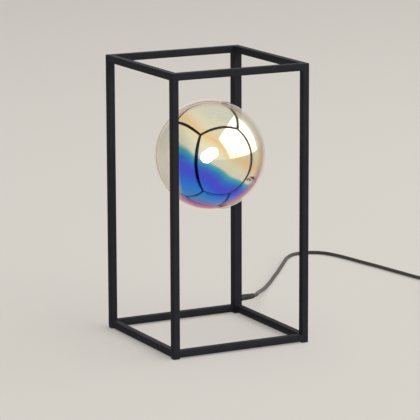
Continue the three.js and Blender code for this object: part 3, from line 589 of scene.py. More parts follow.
@dataclass
class Form:
    """A shape before it is a mesh: points in millimetres and faces, and where they are needed each face's
    material number and corner UVs."""

    points: list[Vector] = field(default_factory=list)
    faces: list[tuple[int, ...]] = field(default_factory=list)
    spots: list[int] = field(default_factory=list)
    along: list[tuple[Point, ...]] = field(default_factory=list)

    def bridge(self, rows: int, closed: bool = False) -> None:
        """Joins each row of points to the next one with faces. A row is a ring of points.

        Args:
            rows: Number of rows, all with as many points.
            closed: Whether the last row also joins the first.
        """
        count = len(self.points) // rows
        for i in range(rows if closed else rows - 1):
            j = (i + 1) % rows
            for k in range(count):
                n = (k + 1) % count
                self.faces.append((i * count + k, i * count + n, j * count + n, j * count + k))

    def moved(self, matrix: Matrix) -> "Form":
        """Returns the form in another place."""
        return Form([matrix @ p for p in self.points], list(self.faces), list(self.spots), list(self.along))

    def plus(self, other: "Form") -> "Form":
        """Returns both forms side by side in one, of one finish and without UVs."""
        start = len(self.points)
        faces = [tuple(i + start for i in face) for face in other.faces]
        return Form(self.points + other.points, self.faces + faces)

    def volume(self) -> float:
        """Gives the volume that the faces enclose, negative where they point in."""
        total = 0.0
        for face in self.faces:
            for i in range(1, len(face) - 1):
                a, b, c = (self.points[k] for k in (face[0], face[i], face[i + 1]))
                total += a.dot(b.cross(c))
        return total / 6


def linked(name: str, data: bpy.types.ID) -> Object:
    """Makes an object from a mesh, a camera or a light and puts it in the scene."""
    made = bpy.data.objects.new(name, data)
    bpy.context.scene.collection.objects.link(made)
    return made


def smoothed(mesh: bpy.types.Mesh, angle: float) -> None:
    """Shades a mesh smooth but for its edges above an angle in degrees."""
    mesh.polygons.foreach_set("use_smooth", [True] * len(mesh.polygons))
    mesh.set_sharp_from_angle(angle=math.radians(angle))


def piece(name: str, form: Form, finishes: Finish | Sequence[Finish], smooth: float = 35.0) -> Object:
    """Makes a mesh object at the origin, its faces pointing outwards.

    Args:
        name: The piece's name.
        form: The shape, in millimetres.
        finishes: One finish, or one for each material number in the form.
        smooth: Angle in degrees above which an edge stays sharp.

    Returns:
        The object, in the scene.
    """
    mesh = bpy.data.meshes.new(name)
    outward = form.volume() > 0
    faces = form.faces if outward else [face[::-1] for face in form.faces]
    mesh.from_pydata([p * MM for p in form.points], [], faces)
    finishes = [finishes] if isinstance(finishes, Finish) else list(finishes)
    for finish in finishes:
        mesh.materials.append(finish.material())
    if form.spots:
        mesh.polygons.foreach_set("material_index", form.spots)
    if form.along:
        layer = mesh.uv_layers.new(name="along")
        flat = [uv for corners in form.along for uv in (corners if outward else corners[::-1])]
        layer.data.foreach_set("uv", [value for uv in flat for value in uv])
    tidy = bmesh.new()
    tidy.from_mesh(mesh)
    bmesh.ops.remove_doubles(tidy, verts=tidy.verts, dist=1e-6)
    bmesh.ops.dissolve_degenerate(tidy, edges=tidy.edges, dist=1e-7)
    tidy.to_mesh(mesh)
    tidy.free()
    smoothed(mesh, smooth)
    made = linked(name, mesh)
    made["slot"] = finishes[0].slot.value
    return made


def settle(made: Object, body: Body, *nodes: str) -> Object:
    """Lets a finished piece ride on its body, in its finish's slot.

    Args:
        made: The piece.
        body: The body that carries it.
        nodes: The CAD nodes it stands for.

    Returns:
        The same piece.
    """
    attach(made, body.value)
    if nodes:
        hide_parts(*nodes)
    LOG.info("%s: %d faces on %s", made.name, len(made.data.polygons), body.value)
    return made


def round_angles(count: int) -> list[float]:
    """Gives even steps round a circle, in radians."""
    return [2 * math.pi * k / count for k in range(count)]


def arc(centre: Point, radius: float, start: float, end: float, steps: int) -> Profile:
    """Gives points on an arc, its angles in degrees from the first axis towards the second."""
    angles = [math.radians(start + (end - start) * i / steps) for i in range(steps + 1)]
    return [(centre[0] + radius * math.cos(a), centre[1] + radius * math.sin(a)) for a in angles]


def curved(first: Vector, corner: Vector, last: Vector, steps: int) -> list[Vector]:
    """Rounds a corner.

    Args:
        first: Where the curve leaves the first edge.
        corner: The corner.
        last: Where the curve meets the second edge.
        steps: Segments in the curve.

    Returns:
        The curve's points, both ends among them.
    """
    shares = [k / steps for k in range(steps + 1)]
    return [first.lerp(corner, t).lerp(corner.lerp(last, t), t) for t in shares]


def softened(outline: Profile, radius: float, steps: int = 3) -> Profile:
    """Rounds each corner of a closed outline.

    Args:
        outline: Corners in order.
        radius: Largest reach of a round along its two edges.
        steps: Segments in each round.

    Returns:
        The outline with each corner off the axis drawn as a short curve.
    """
    made: Profile = []
    for i, corner in enumerate(outline):
        here = Vector(corner)
        back = Vector(outline[i - 1]) - here
        on = Vector(outline[(i + 1) % len(outline)]) - here
        reach = min(radius, 0.45 * back.length, 0.45 * on.length)
        if abs(corner[0]) < ON_AXIS or reach < 0.02 or abs(back.angle(on) - math.pi) < 0.05:
            made.append(corner)
            continue
        first = here + back.normalized() * reach
        last = here + on.normalized() * reach
        made += [(spot.x, spot.y) for spot in curved(first, here, last, steps)]
    return made


def turned(profile: Profile, sides: int = 64, spots: Sequence[int] | None = None) -> Form:
    """Revolves a closed profile about Y.

    Args:
        profile: Points of radius and distance along Y. The last joins the first, unless both are on the axis.
        sides: Segments round the axis.
        spots: Material number of each stretch of the profile.

    Returns:
        The closed form.
    """
    angles = round_angles(sides)
    form = Form([Vector((r * math.sin(a), y, r * math.cos(a))) for r, y in profile for a in angles])
    form.bridge(len(profile), closed=max(profile[0][0], profile[-1][0]) > ON_AXIS)
    if spots:
        form.spots = [spots[i // sides] for i in range(len(form.faces))]
    return form


def lofted(rings: Sequence[Sequence[Vector]]) -> Form:
    """Joins rings of points, all with as many, one after another and closes both ends."""
    form = Form([point for ring in rings for point in ring])
    form.bridge(len(rings))
    count = len(rings[0])
    form.faces.append(tuple(range(count))[::-1])
    form.faces.append(tuple(range(len(form.points) - count, len(form.points))))
    return form


def prism(outline: Profile, low: float, high: float, edge: float = 0.0, steps: int = 3) -> Form:
    """Extrudes a closed outline along Z, its two rims rounded over.

    Args:
        outline: Points in order.
        low: Height of the bottom.
        high: Height of the top.
        edge: Radius of the rounded rims.
        steps: Segments in each rim.

    Returns:
        The closed form.
    """
    levels = [(low, 0.0), (high, 0.0)]
    if edge > 0:
        quarter = [math.pi / 2 * k / steps for k in range(steps + 1)]
        rise = [(low + edge * (1 - math.cos(a)), edge * (1 - math.sin(a))) for a in quarter]
        levels = rise + [(low + high - z, inset) for z, inset in reversed(rise)]
    return lofted([[Vector((x, y, z)) for x, y in drawn_in(outline, inset)] for z, inset in levels])


def drawn_in(outline: Profile, inset: float) -> Profile:
    """Moves each point of a counter-clockwise outline inwards by a distance."""
    if inset == 0:
        return list(outline)
    made: Profile = []
    for i, corner in enumerate(outline):
        here = Vector(corner)
        before = (here - Vector(outline[i - 1])).normalized()
        after = (Vector(outline[(i + 1) % len(outline)]) - here).normalized()
        normals = Vector((-before.y, before.x)), Vector((-after.y, after.x))
        middle = normals[0] + normals[1]
        scale = inset / max(0.3, middle.dot(normals[0]))
        made.append((here.x + middle.x * scale, here.y + middle.y * scale))
    return made


def rounded_rectangle(width: float, height: float, radius: float, steps: int = 6) -> Profile:
    """Gives a rounded rectangle's outline about the origin, counter-clockwise."""
    x, y = width / 2 - radius, height / 2 - radius
    corners = [((x, y), 0), ((-x, y), 90), ((-x, -y), 180), ((x, -y), 270)]
    return [point for centre, start in corners for point in arc(centre, radius, start, start + 90, steps)]


def swept(path: Sequence[Vector], radius: Callable[[float], float], sides: int = 16) -> Form:
    """Draws a round tube along a path, its ends closed.

    Args:
        path: Points of the centreline.
        radius: Radius by the share of the way along.
        sides: Points round the tube.

    Returns:
        The closed form, with UVs round and along it, the latter in diameters.
    """
    count = len(path)
    tangents = [(path[min(i + 1, count - 1)] - path[max(i - 1, 0)]).normalized() for i in range(count)]
    normal = tangents[0].orthogonal().normalized()
    lengths = [0.0]
    for a, b in zip(path, path[1:]):
        lengths.append(lengths[-1] + (b - a).length)
    angles = round_angles(sides)
    rings = []
    for i, (point, tangent) in enumerate(zip(path, tangents)):
        normal.rotate(tangents[max(i - 1, 0)].rotation_difference(tangent))
        side = tangent.cross(normal)
        reach = radius(lengths[i] / lengths[-1])
        rings.append([point + (normal * math.cos(a) + side * math.sin(a)) * reach for a in angles])
    form = lofted(rings)
    width = 2 * radius(0.5)
    for start, end in zip(lengths, lengths[1:]):
        v0, v1 = start / width, end / width
        for k in range(sides):
            u0, u1 = k / sides, (k + 1) / sides
            form.along.append(((u0, v0), (u1, v0), (u1, v1), (u0, v1)))
    form.along += [((0.0, 0.0),) * sides] * 2
    return form


def smooth_path(points: Sequence[Vector], step: float) -> list[Vector]:
    """Draws a centripetal Catmull-Rom curve through points.

    Args:
        points: Points on the curve.
        step: Rough distance between the points returned.

    Returns:
        Points along the curve, its ends among them.
    """
    padded = [points[0] * 2 - points[1], *points, points[-1] * 2 - points[-2]]
    made: list[Vector] = []
    for p0, p1, p2, p3 in zip(padded, padded[1:], padded[2:], padded[3:]):
        t1 = (p1 - p0).length ** 0.5
        t2 = t1 + (p2 - p1).length ** 0.5
        t3 = t2 + (p3 - p2).length ** 0.5
        steps = max(1, round((p2 - p1).length / step))
        for k in range(steps):
            t = t1 + (t2 - t1) * k / steps
            a1 = p0.lerp(p1, t / t1)
            a2 = p1.lerp(p2, (t - t1) / (t2 - t1))
            a3 = p2.lerp(p3, (t - t2) / (t3 - t2))
            b1 = a1.lerp(a2, t / t2)
            b2 = a2.lerp(a3, (t - t1) / (t3 - t1))
            made.append(b1.lerp(b2, (t - t1) / (t2 - t1)))
    made.append(points[-1].copy())
    return made


def smoothstep(share: float) -> float:
    """Eases a share from 0 to 1."""
    share = min(1.0, max(0.0, share))
    return share * share * (3 - 2 * share)


def finished(made: Object) -> None:
    """Applies a piece's modifiers to its mesh."""
    graph = bpy.context.evaluated_depsgraph_get()
    mesh = bpy.data.meshes.new_from_object(made.evaluated_get(graph))
    old = made.data
    made.modifiers.clear()
    made.data = mesh
    bpy.data.meshes.remove(old)


def carved(made: Object, tools: Iterable[Form], where: Matrix, joins: bool = False,
           smooth: float = 35.0) -> None:
    """Cuts forms out of a piece, or joins them to it.

    Args:
        made: The piece.
        tools: Closed forms in millimetres.
        where: The forms' place.
        joins: Whether the tools are joined on instead of cut out.
        smooth: Angle in degrees above which an edge stays sharp.
    """
    helpers = []
    for i, form in enumerate(tools):
        helper = piece(f"{made.name}_tool_{i}", form.moved(where), POWDER)
        helper.data.materials.clear()
        modifier = made.modifiers.new("carve", "BOOLEAN")
        modifier.object = helper
        modifier.operation = "UNION" if joins else "DIFFERENCE"
        modifier.solver = "EXACT"
        helpers.append(helper)
    finished(made)
    for helper in helpers:
        bpy.data.objects.remove(helper)
    smoothed(made.data, smooth)


def rod(radius: float, start: float, end: float, sides: int = 48, edge: float = 0.0) -> Form:
    """Makes a cylinder along Y, its rims rounded over."""
    outline: Profile = [(0, start), (radius, start), (radius, end), (0, end)]
    return turned(softened(outline, edge) if edge else outline, sides)


def turning(degrees: float, axis: str) -> Matrix:
    """Gives a rotation about an axis through the origin."""
    return Matrix.Rotation(math.radians(degrees), 4, axis)


def along_x(form: Form, side: int = 1) -> Form:
    """Turns a form made about Y to lie along X, towards +X or -X."""
    return form.moved(turning(-90 * side, "Z"))


def upright(form: Form) -> Form:
    """Turns a form made about Y to stand along Z."""
    return form.moved(turning(90, "X"))


def laid(form: Form) -> Form:
    """Turns a form made about Z to lie along Y."""
    return form.moved(turning(-90, "X"))


def at(form: Form, x: float, y: float, z: float) -> Form:
    """Moves a form by a distance along each axis."""
    return form.moved(Matrix.Translation((x, y, z)))


def block(x: Sequence[float], y: Sequence[float], z: Sequence[float]) -> Form:
    """Makes a sharp block between two ranges along each axis."""
    return prism([(x[0], y[0]), (x[1], y[0]), (x[1], y[1]), (x[0], y[1])], *z)


def bent(corners: Sequence[Vector], radius: float, steps: int = 8) -> list[Vector]:
    """Rounds the corners of an open path.

    Args:
        corners: The path's ends and corners.
        radius: Bend radius, taken smaller where a run is short.
        steps: Segments in each bend.

    Returns:
        Points along the path.
    """
    path = [corners[0].copy()]
    for before, corner, after in zip(corners, corners[1:], corners[2:]):
        back, on = before - corner, after - corner
        reach = radius * math.tan((math.pi - back.angle(on)) / 2)
        reach = min(reach, 0.49 * back.length, 0.49 * on.length)
        first = corner + back.normalized() * reach
        last = corner + on.normalized() * reach
        path += curved(first, corner, last, steps)
    path.append(corners[-1].copy())
    return path


def strip(path: Sequence[Vector], sheet: float) -> Profile:
    """Gives sheet metal its thickness.

    Args:
        path: The sheet's middle line, open, in X and Y.
        sheet: Its thickness.

    Returns:
        The closed outline of the bent sheet.
    """
    sides: tuple[Profile, Profile] = ([], [])
    count = len(path)
    for i, point in enumerate(path):
        run = path[min(i + 1, count - 1)] - path[max(i - 1, 0)]
        normal = Vector((-run.y, run.x)).normalized() * sheet / 2
        sides[0].append((point.x - normal.x, point.y - normal.y))
        sides[1].append((point.x + normal.x, point.y + normal.y))
    return sides[0] + sides[1][::-1]


def stepped(levels: Sequence[Place]) -> Form:
    """Lofts rounded squares along Z.

    Args:
        levels: Height, side and corner radius of each square, from the bottom up.

    Returns:
        The closed form.
    """
    outlines = [(z, rounded_rectangle(side, side, radius, 4)) for z, side, radius in levels]
    return lofted([[Vector((x, y, z)) for x, y in outline] for z, outline in outlines])


def hex_nut(start: float, thickness: float, corners: float = 15.0, bore: float = 5.15) -> Form:
    """Makes a hexagon nut about Y with chamfered corners and a countersunk bore.

    Args:
        start: Where its first face is along Y.
        thickness: Height of the nut.
        corners: Width across corners.
        bore: Radius of the hole.

    Returns:
        The closed form.
    """
    sides, chamfer, flat = 96, 0.45, 6.4
    form = Form()
    apothem = corners / 2 * math.cos(math.pi / 6)
    for angle in round_angles(sides):
        reach = apothem / math.cos(angle % (math.pi / 3) - math.pi / 6)
        slope = max(0.0, reach - flat) * 0.5
        rings = [(bore, chamfer), (bore + chamfer, 0.0), (flat, 0.0), (reach, slope)]
        rings += [(r, thickness - y) for r, y in reversed(rings)]
        form.points.extend(Vector((r * math.sin(angle), start + y, r * math.cos(angle))) for r, y in rings)
    form.bridge(sides, closed=True)
    return form


def merged(made: Object, *others: Object) -> None:
    """Puts other pieces of the same finish into a piece."""
    mesh = bmesh.new()
    for source in (made, *others):
        mesh.from_mesh(source.data)
    mesh.to_mesh(made.data)
    mesh.free()
    for source in others:
        bpy.data.objects.remove(source)


@dataclass(frozen=True)
class Thread:
    """A right-hand thread ridge on a round wall about Y, faded in and out at its ends."""

    start: float
    height: float
    root: float
    crest: float
    turns: float = 1.3
    pitch: float = 4.5
    fade: float = 0.12

    def lift(self, along: float, angle: float) -> float:
        """Gives the ridge's height at a distance along the axis and an angle about it."""
        share = 0.0
        for turn in range(math.ceil(self.turns)):
            way = (angle / (2 * math.pi) % 1 + turn) / self.turns
            if not 0 <= way <= 1:
                continue
            off = abs(along - self.start - self.pitch * self.turns * way)
            flank = (self.root / 2 - off) / ((self.root - self.crest) / 2)
            faded = min(1.0, way * self.turns / self.fade, (1 - way) * self.turns / self.fade)
            share = max(share, min(1.0, max(0.0, flank)) * faded)
        return self.height * share

    def raise_on(self, form: Form, wall: float) -> None:
        """Moves the form's points on a wall of this radius out, or in where the height is negative."""
        for point in form.points:
            radius = math.hypot(point.x, point.z)
            if abs(radius - wall) < 0.01:
                scale = 1 + self.lift(point.y, math.atan2(point.x, point.z)) / radius
                point.x *= scale
                point.z *= scale


@dataclass(frozen=True)
class Beads:
    """A Geometry Nodes tree that sets one small dome after another along a path, as the ripples of a weld
    and the pips of a grip are set."""

    finish: Finish
    segments: int = 14
    rings: int = 9

    def tree(self) -> Tree:
        """Builds the tree: the path to points a step apart, a dome on each, made real and dressed."""
        tree = bpy.data.node_groups.new(f"beads_of_{self.finish.name}", "GeometryNodeTree")
        sockets = (("Path", "NodeSocketGeometry"), ("Step", "NodeSocketFloat"), ("Size", "NodeSocketVector"))
        for name, kind in sockets:
            tree.interface.new_socket(name, in_out="INPUT", socket_type=kind)
        tree.interface.new_socket("Beads", in_out="OUTPUT", socket_type="NodeSocketGeometry")
        start = add_node(tree, "NodeGroupInput").outputs
        curve = add_node(tree, "GeometryNodeMeshToCurve", {"Mesh": start["Path"]})
        inputs = {"Curve": curve, "Length": start["Step"]}
        spots = add_node(tree, "GeometryNodeCurveToPoints", inputs, mode="LENGTH")
        inputs = {
            "Points": spots,
            "Instance": add_node(tree, "GeometryNodeMeshUVSphere", (self.segments, self.rings, 1.0)),
            "Rotation": spots.outputs["Rotation"],
            "Scale": start["Size"],
        }
        copies = add_node(tree, "GeometryNodeInstanceOnPoints", inputs)
        real = add_node(tree, "GeometryNodeRealizeInstances", {"Geometry": copies})
        smooth = add_node(tree, "GeometryNodeSetShadeSmooth", {"Geometry": real})
        inputs = {"Geometry": smooth, "Material": self.finish.material()}
        add_node(tree, "NodeGroupOutput", {"Beads": add_node(tree, "GeometryNodeSetMaterial", inputs)})
        return tree

    def along(self, name: str, path: Sequence[Vector], step: float, size: Sequence[float],
              closed: bool = False) -> Object:
        """Sets the domes along a path.

        Args:
            name: The piece's name.
            path: Points in millimetres.
            step: Distance between two domes.
            size: Half the dome's size across the path twice, and along it.
            closed: Whether the path's end meets its start.

        Returns:
            The domes as one plain mesh object.
        """
        edges = [(i, i + 1) for i in range(len(path) - 1)]
        if closed:
            edges.append((len(path) - 1, 0))
        mesh = bpy.data.meshes.new(name)
        mesh.from_pydata([p * MM for p in path], edges, [])
        made = linked(name, mesh)
        modifier = made.modifiers.new("beads", "NODES")
        modifier.node_group = self.tree()
        values = {"Step": step * MM, "Size": [s * MM for s in size]}
        for item in modifier.node_group.interface.items_tree:
            if item.name in values:
                modifier[item.identifier] = values[item.name]
        finished(made)
        made["slot"] = self.finish.slot.value
        return made


# Camera, lights and floor


@dataclass
class Studio:
    """The photograph's viewpoint, plain soft light and a pale floor."""

    azimuth: float = -27.23
    elevation: float = 11.51
    roll: float = -0.20
    distance: float = 3519.43
    target: Place = (4.92, 0.0, 170.9)
    lens: float = 225.9
    floor: float = 30000.0
    below: float = 0.05
    even: str = "#e9e7e3"
    even_step: Step = (-1.0, 1.0, 0.08, 0.66)
    wall: str = "#f8f6f2"
    mirrored_step: Step = (-0.9, 0.1, 0.6, 1.0)
    bright_side: Place = (0.75, -0.5, 0.4)

    def camera(self) -> None:
        """Makes the scene's camera at the photograph's viewpoint."""
        a, e, r = (math.radians(x) for x in (self.azimuth, self.elevation, self.roll))
        back = Vector((math.sin(a) * math.cos(e), -math.cos(a) * math.cos(e), math.sin(e)))
        right = Vector((math.cos(a), math.sin(a), 0))
        up = back.cross(right)
        right, up = right * math.cos(r) + up * math.sin(r), up * math.cos(r) - right * math.sin(r)
        data = bpy.data.cameras.new("camera")
        data.lens = self.lens
        data.sensor_width = 36.0
        data.clip_start = 0.1
        data.clip_end = 100.0
        camera = linked("camera", data)
        turn = Matrix((right, up, back)).transposed().to_4x4()
        camera.matrix_world = Matrix.Translation((Vector(self.target) + back * self.distance) * MM) @ turn
        bpy.context.scene.camera = camera

    def softbox(self, name: str, at_mm: Place, size: Point, glow: float, colour: str) -> Object:
        """Adds a rectangular soft light that faces the lamp, by the brightness of its face, 1 being white."""
        data = bpy.data.lights.new(name, "AREA")
        data.shape = "RECTANGLE"
        data.size, data.size_y = size[0] * MM, size[1] * MM
        data.energy = glow * math.pi * data.size * data.size_y
        data.color = linear(colour)[:3]
        lamp = linked(name, data)
        lamp.location = Vector(at_mm) * MM
        towards = Vector((0, 0, 200)) * MM - lamp.location
        lamp.rotation_euler = towards.to_track_quat("-Z", "Y").to_euler()
        return lamp

    def light(self) -> None:
        """Adds the world, darker to the left, white where glass and metal see it, and the softboxes."""
        world = bpy.data.worlds.new("studio")
        world.use_nodes = True
        tree = world.node_tree
        tree.nodes.clear()
        rays = add_node(tree, "ShaderNodeLightPath").outputs
        seen = rays["Is Camera Ray"]
        for kind in ("Is Glossy Ray", "Is Transmission Ray"):
            seen = add_node(tree, "ShaderNodeMath", (seen, rays[kind]), operation="MAXIMUM")
        where = add_node(tree, "ShaderNodeTexCoord").outputs["Generated"]
        inputs = (where, Vector(self.bright_side).normalized())
        side = add_node(tree, "ShaderNodeVectorMath", inputs, operation="DOT_PRODUCT")
        level = add_node(tree, "ShaderNodeMapRange", (side, *self.even_step))
        mirrored = add_node(tree, "ShaderNodeMapRange", (side, *self.mirrored_step), **EASED)
        inputs = (mirrored, rays["Is Camera Ray"])
        mirrored = add_node(tree, "ShaderNodeMath", inputs, operation="MAXIMUM")
        even = add_node(tree, "ShaderNodeBackground", (linear(self.even), level))
        wall = add_node(tree, "ShaderNodeBackground", (linear(self.wall), mirrored))
        sky = add_node(tree, "ShaderNodeMixShader", (seen, even, wall))
        add_node(tree, "ShaderNodeOutputWorld", {"Surface": sky})
        bpy.context.scene.world = world
        self.softbox("right_panel", (4920, -3440, 3700), (12400, 7800), 1.55, "#fffdf6")
        self.softbox("overhead", (200, 400, 3400), (3600, 3600), 0.85, "#ffffff").visible_glossy = False

    def ground(self) -> None:
        """Adds the pale floor."""
        half = self.floor / 2
        corners = ((-half, -half), (half, -half), (half, half), (-half, half))
        mesh = bpy.data.meshes.new("floor")
        mesh.from_pydata([Vector((x, y, -self.below)) * MM for x, y in corners], [], [(0, 1, 2, 3)])
        mesh.materials.append(Stage("pale_studio_paper", Slot.POWDER_COAT).material())
        floor = linked("floor", mesh)

    def build(self) -> None:
        """Adds the lights and the floor and sets the plain view transform."""
        self.light()
        self.ground()
        bpy.context.scene.view_settings.view_transform = "Standard"


# Cords


@dataclass
class Cords:
    """The cord from the cage to the switch, and on through its coil to the plug."""

    diameter: float = 5.4
    route: tuple[Place, ...] = (
        (98.2, 94, 20), (104, 94, 20), (110, 94.05, 20), (116.5, 94.75, 20), (122.8, 96.9, 19.9),
        (128.2, 100.6, 19.6), (132.5, 105.6, 18.9), (138.4, 115.6, 17.0), (145, 127, 14.5), (153, 140, 11.7),
        (163, 154, 9.0), (175, 169, 6.9), (188, 185, 5.0), (202, 203, 3.7), (217, 222, 2.85),
        (231, 240, 2.85), (245, 258, 2.85), (260, 277, 2.85), (275, 297, 2.85), (290, 317, 2.85),
        (305, 337, 2.85), (321, 357, 2.85), (341, 372, 2.85), (363, 373, 2.85), (382, 361, 2.85),
        (392, 340, 2.85), (398, 314, 2.85), (403, 282, 2.85), (409, 248, 2.85), (414, 214, 2.85),
        (419, 181, 2.85), (424, 150, 2.85), (428.5, 124, 4.2), (430, 108, 7.2), (430, 92.3, 9),
    )
    lead_start: Place = (430.0, -16.3, 9.0)
    coil_start: Point = (430.0, -40.0)
    turns: float = 5 + 75 / 360
    middle_radius: float = 30.0
    step_out: float = 6.8
    step_up: float = 5.95
    lift: float = 0.9
    tail: float = 15.0
    plug_axis: float = 6.85
    plug_lead: float = 22.3
    step: float = 2.0

    @property
    def low(self) -> float:
        """Height of the coil's lower layer."""
        return self.lift + self.diameter / 2

    @property
    def layer(self) -> float:
        """Turns in one layer of the coil."""
        return (self.turns - 0.5) / 2

    @property
    def inner(self) -> float:
        """Radius of the coil's innermost turn."""
        return self.middle_radius - self.step_out * self.layer / 2

    @property
    def outer(self) -> float:
        """Radius of the coil's outermost turn."""
        return self.inner + self.step_out * self.layer

    @property
    def centre(self) -> Vector:
        """The coil's middle on the table."""
        return Vector((self.coil_start[0] - self.outer, self.coil_start[1] - self.diameter, 0))

    def coil_point(self, turn: float) -> Vector:
        """Gives a point of the coil, which winds in, climbs through half a turn and winds out again."""
        climb = smoothstep((turn - self.layer) / 0.5)
        out = max(self.layer - turn, 0) + max(turn - self.layer - 0.5, 0)
        radius = self.inner + self.step_out * out
        angle = -2 * math.pi * turn
        spot = Vector((radius * math.cos(angle), radius * math.sin(angle), self.low + self.step_up * climb))
        return self.centre + spot

    def heading(self) -> Vector:
        """Gives the level direction in which the cord leaves the coil."""
        steps = round(self.turns * 24)
        last = self.coil_point(self.turns) - self.coil_point(self.turns * (steps - 1) / steps)
        return Vector((last.x, last.y, 0)).normalized()

    def coiled(self) -> list[Vector]:
        """Gives the path from the switch over the coil to the plug."""
        start = Vector(self.lead_start)
        run = start.y - self.coil_start[1] - 0.3
        path = []
        steps = 12
        for i in range(steps + 1):
            share = i / steps
            height = start.z + (self.low - start.z) * smoothstep(share)
            path.append(Vector((start.x, start.y - run * share, height)))
        steps = round(self.turns * 60)
        path += [self.coil_point(self.turns * i / steps) for i in range(steps + 1)]
        heading = self.heading()
        last = path[-1] + heading * (self.diameter + 0.3)
        path.append(path[-1] + heading * self.diameter * 0.5)
        steps = 8
        for i in range(steps + 1):
            spot = last + heading * (self.tail * i / steps)
            spot.z = last.z + (self.plug_axis - last.z) * smoothstep(i / steps)
            path.append(spot)
        return path

    def plug_place(self) -> Matrix:
        """Gives the plug's place: its boot's root on the tail's line, its pins ahead."""
        heading = self.heading()
        start = self.coiled()[-1] + heading * self.plug_lead
        turn = Matrix.Rotation(math.atan2(heading.y, heading.x), 4, "Z")
        return Matrix.Translation((start.x, start.y, 0)) @ turn

    def build(self) -> tuple[Object, Object, list[Vector], list[Vector]]:
        """Makes both cords and returns them with their paths."""
        radius = self.diameter / 2
        first_path = smooth_path([Vector(p) for p in self.route], self.step)
        first = piece("cord_to_switch", swept(first_path, lambda _: radius, 20), SHEATH, 60)
        settle(first, Body.LAMP, "cord_from_lamp")
        second_path = self.coiled()
        second = piece("cord_to_the_plug", swept(second_path, lambda _: radius, 16), SHEATH, 60)
        settle(second, Body.LAMP, "cord_from_switch", "cord_coil", "cord_to_plug")
        return first, second, first_path, second_path


# Cage


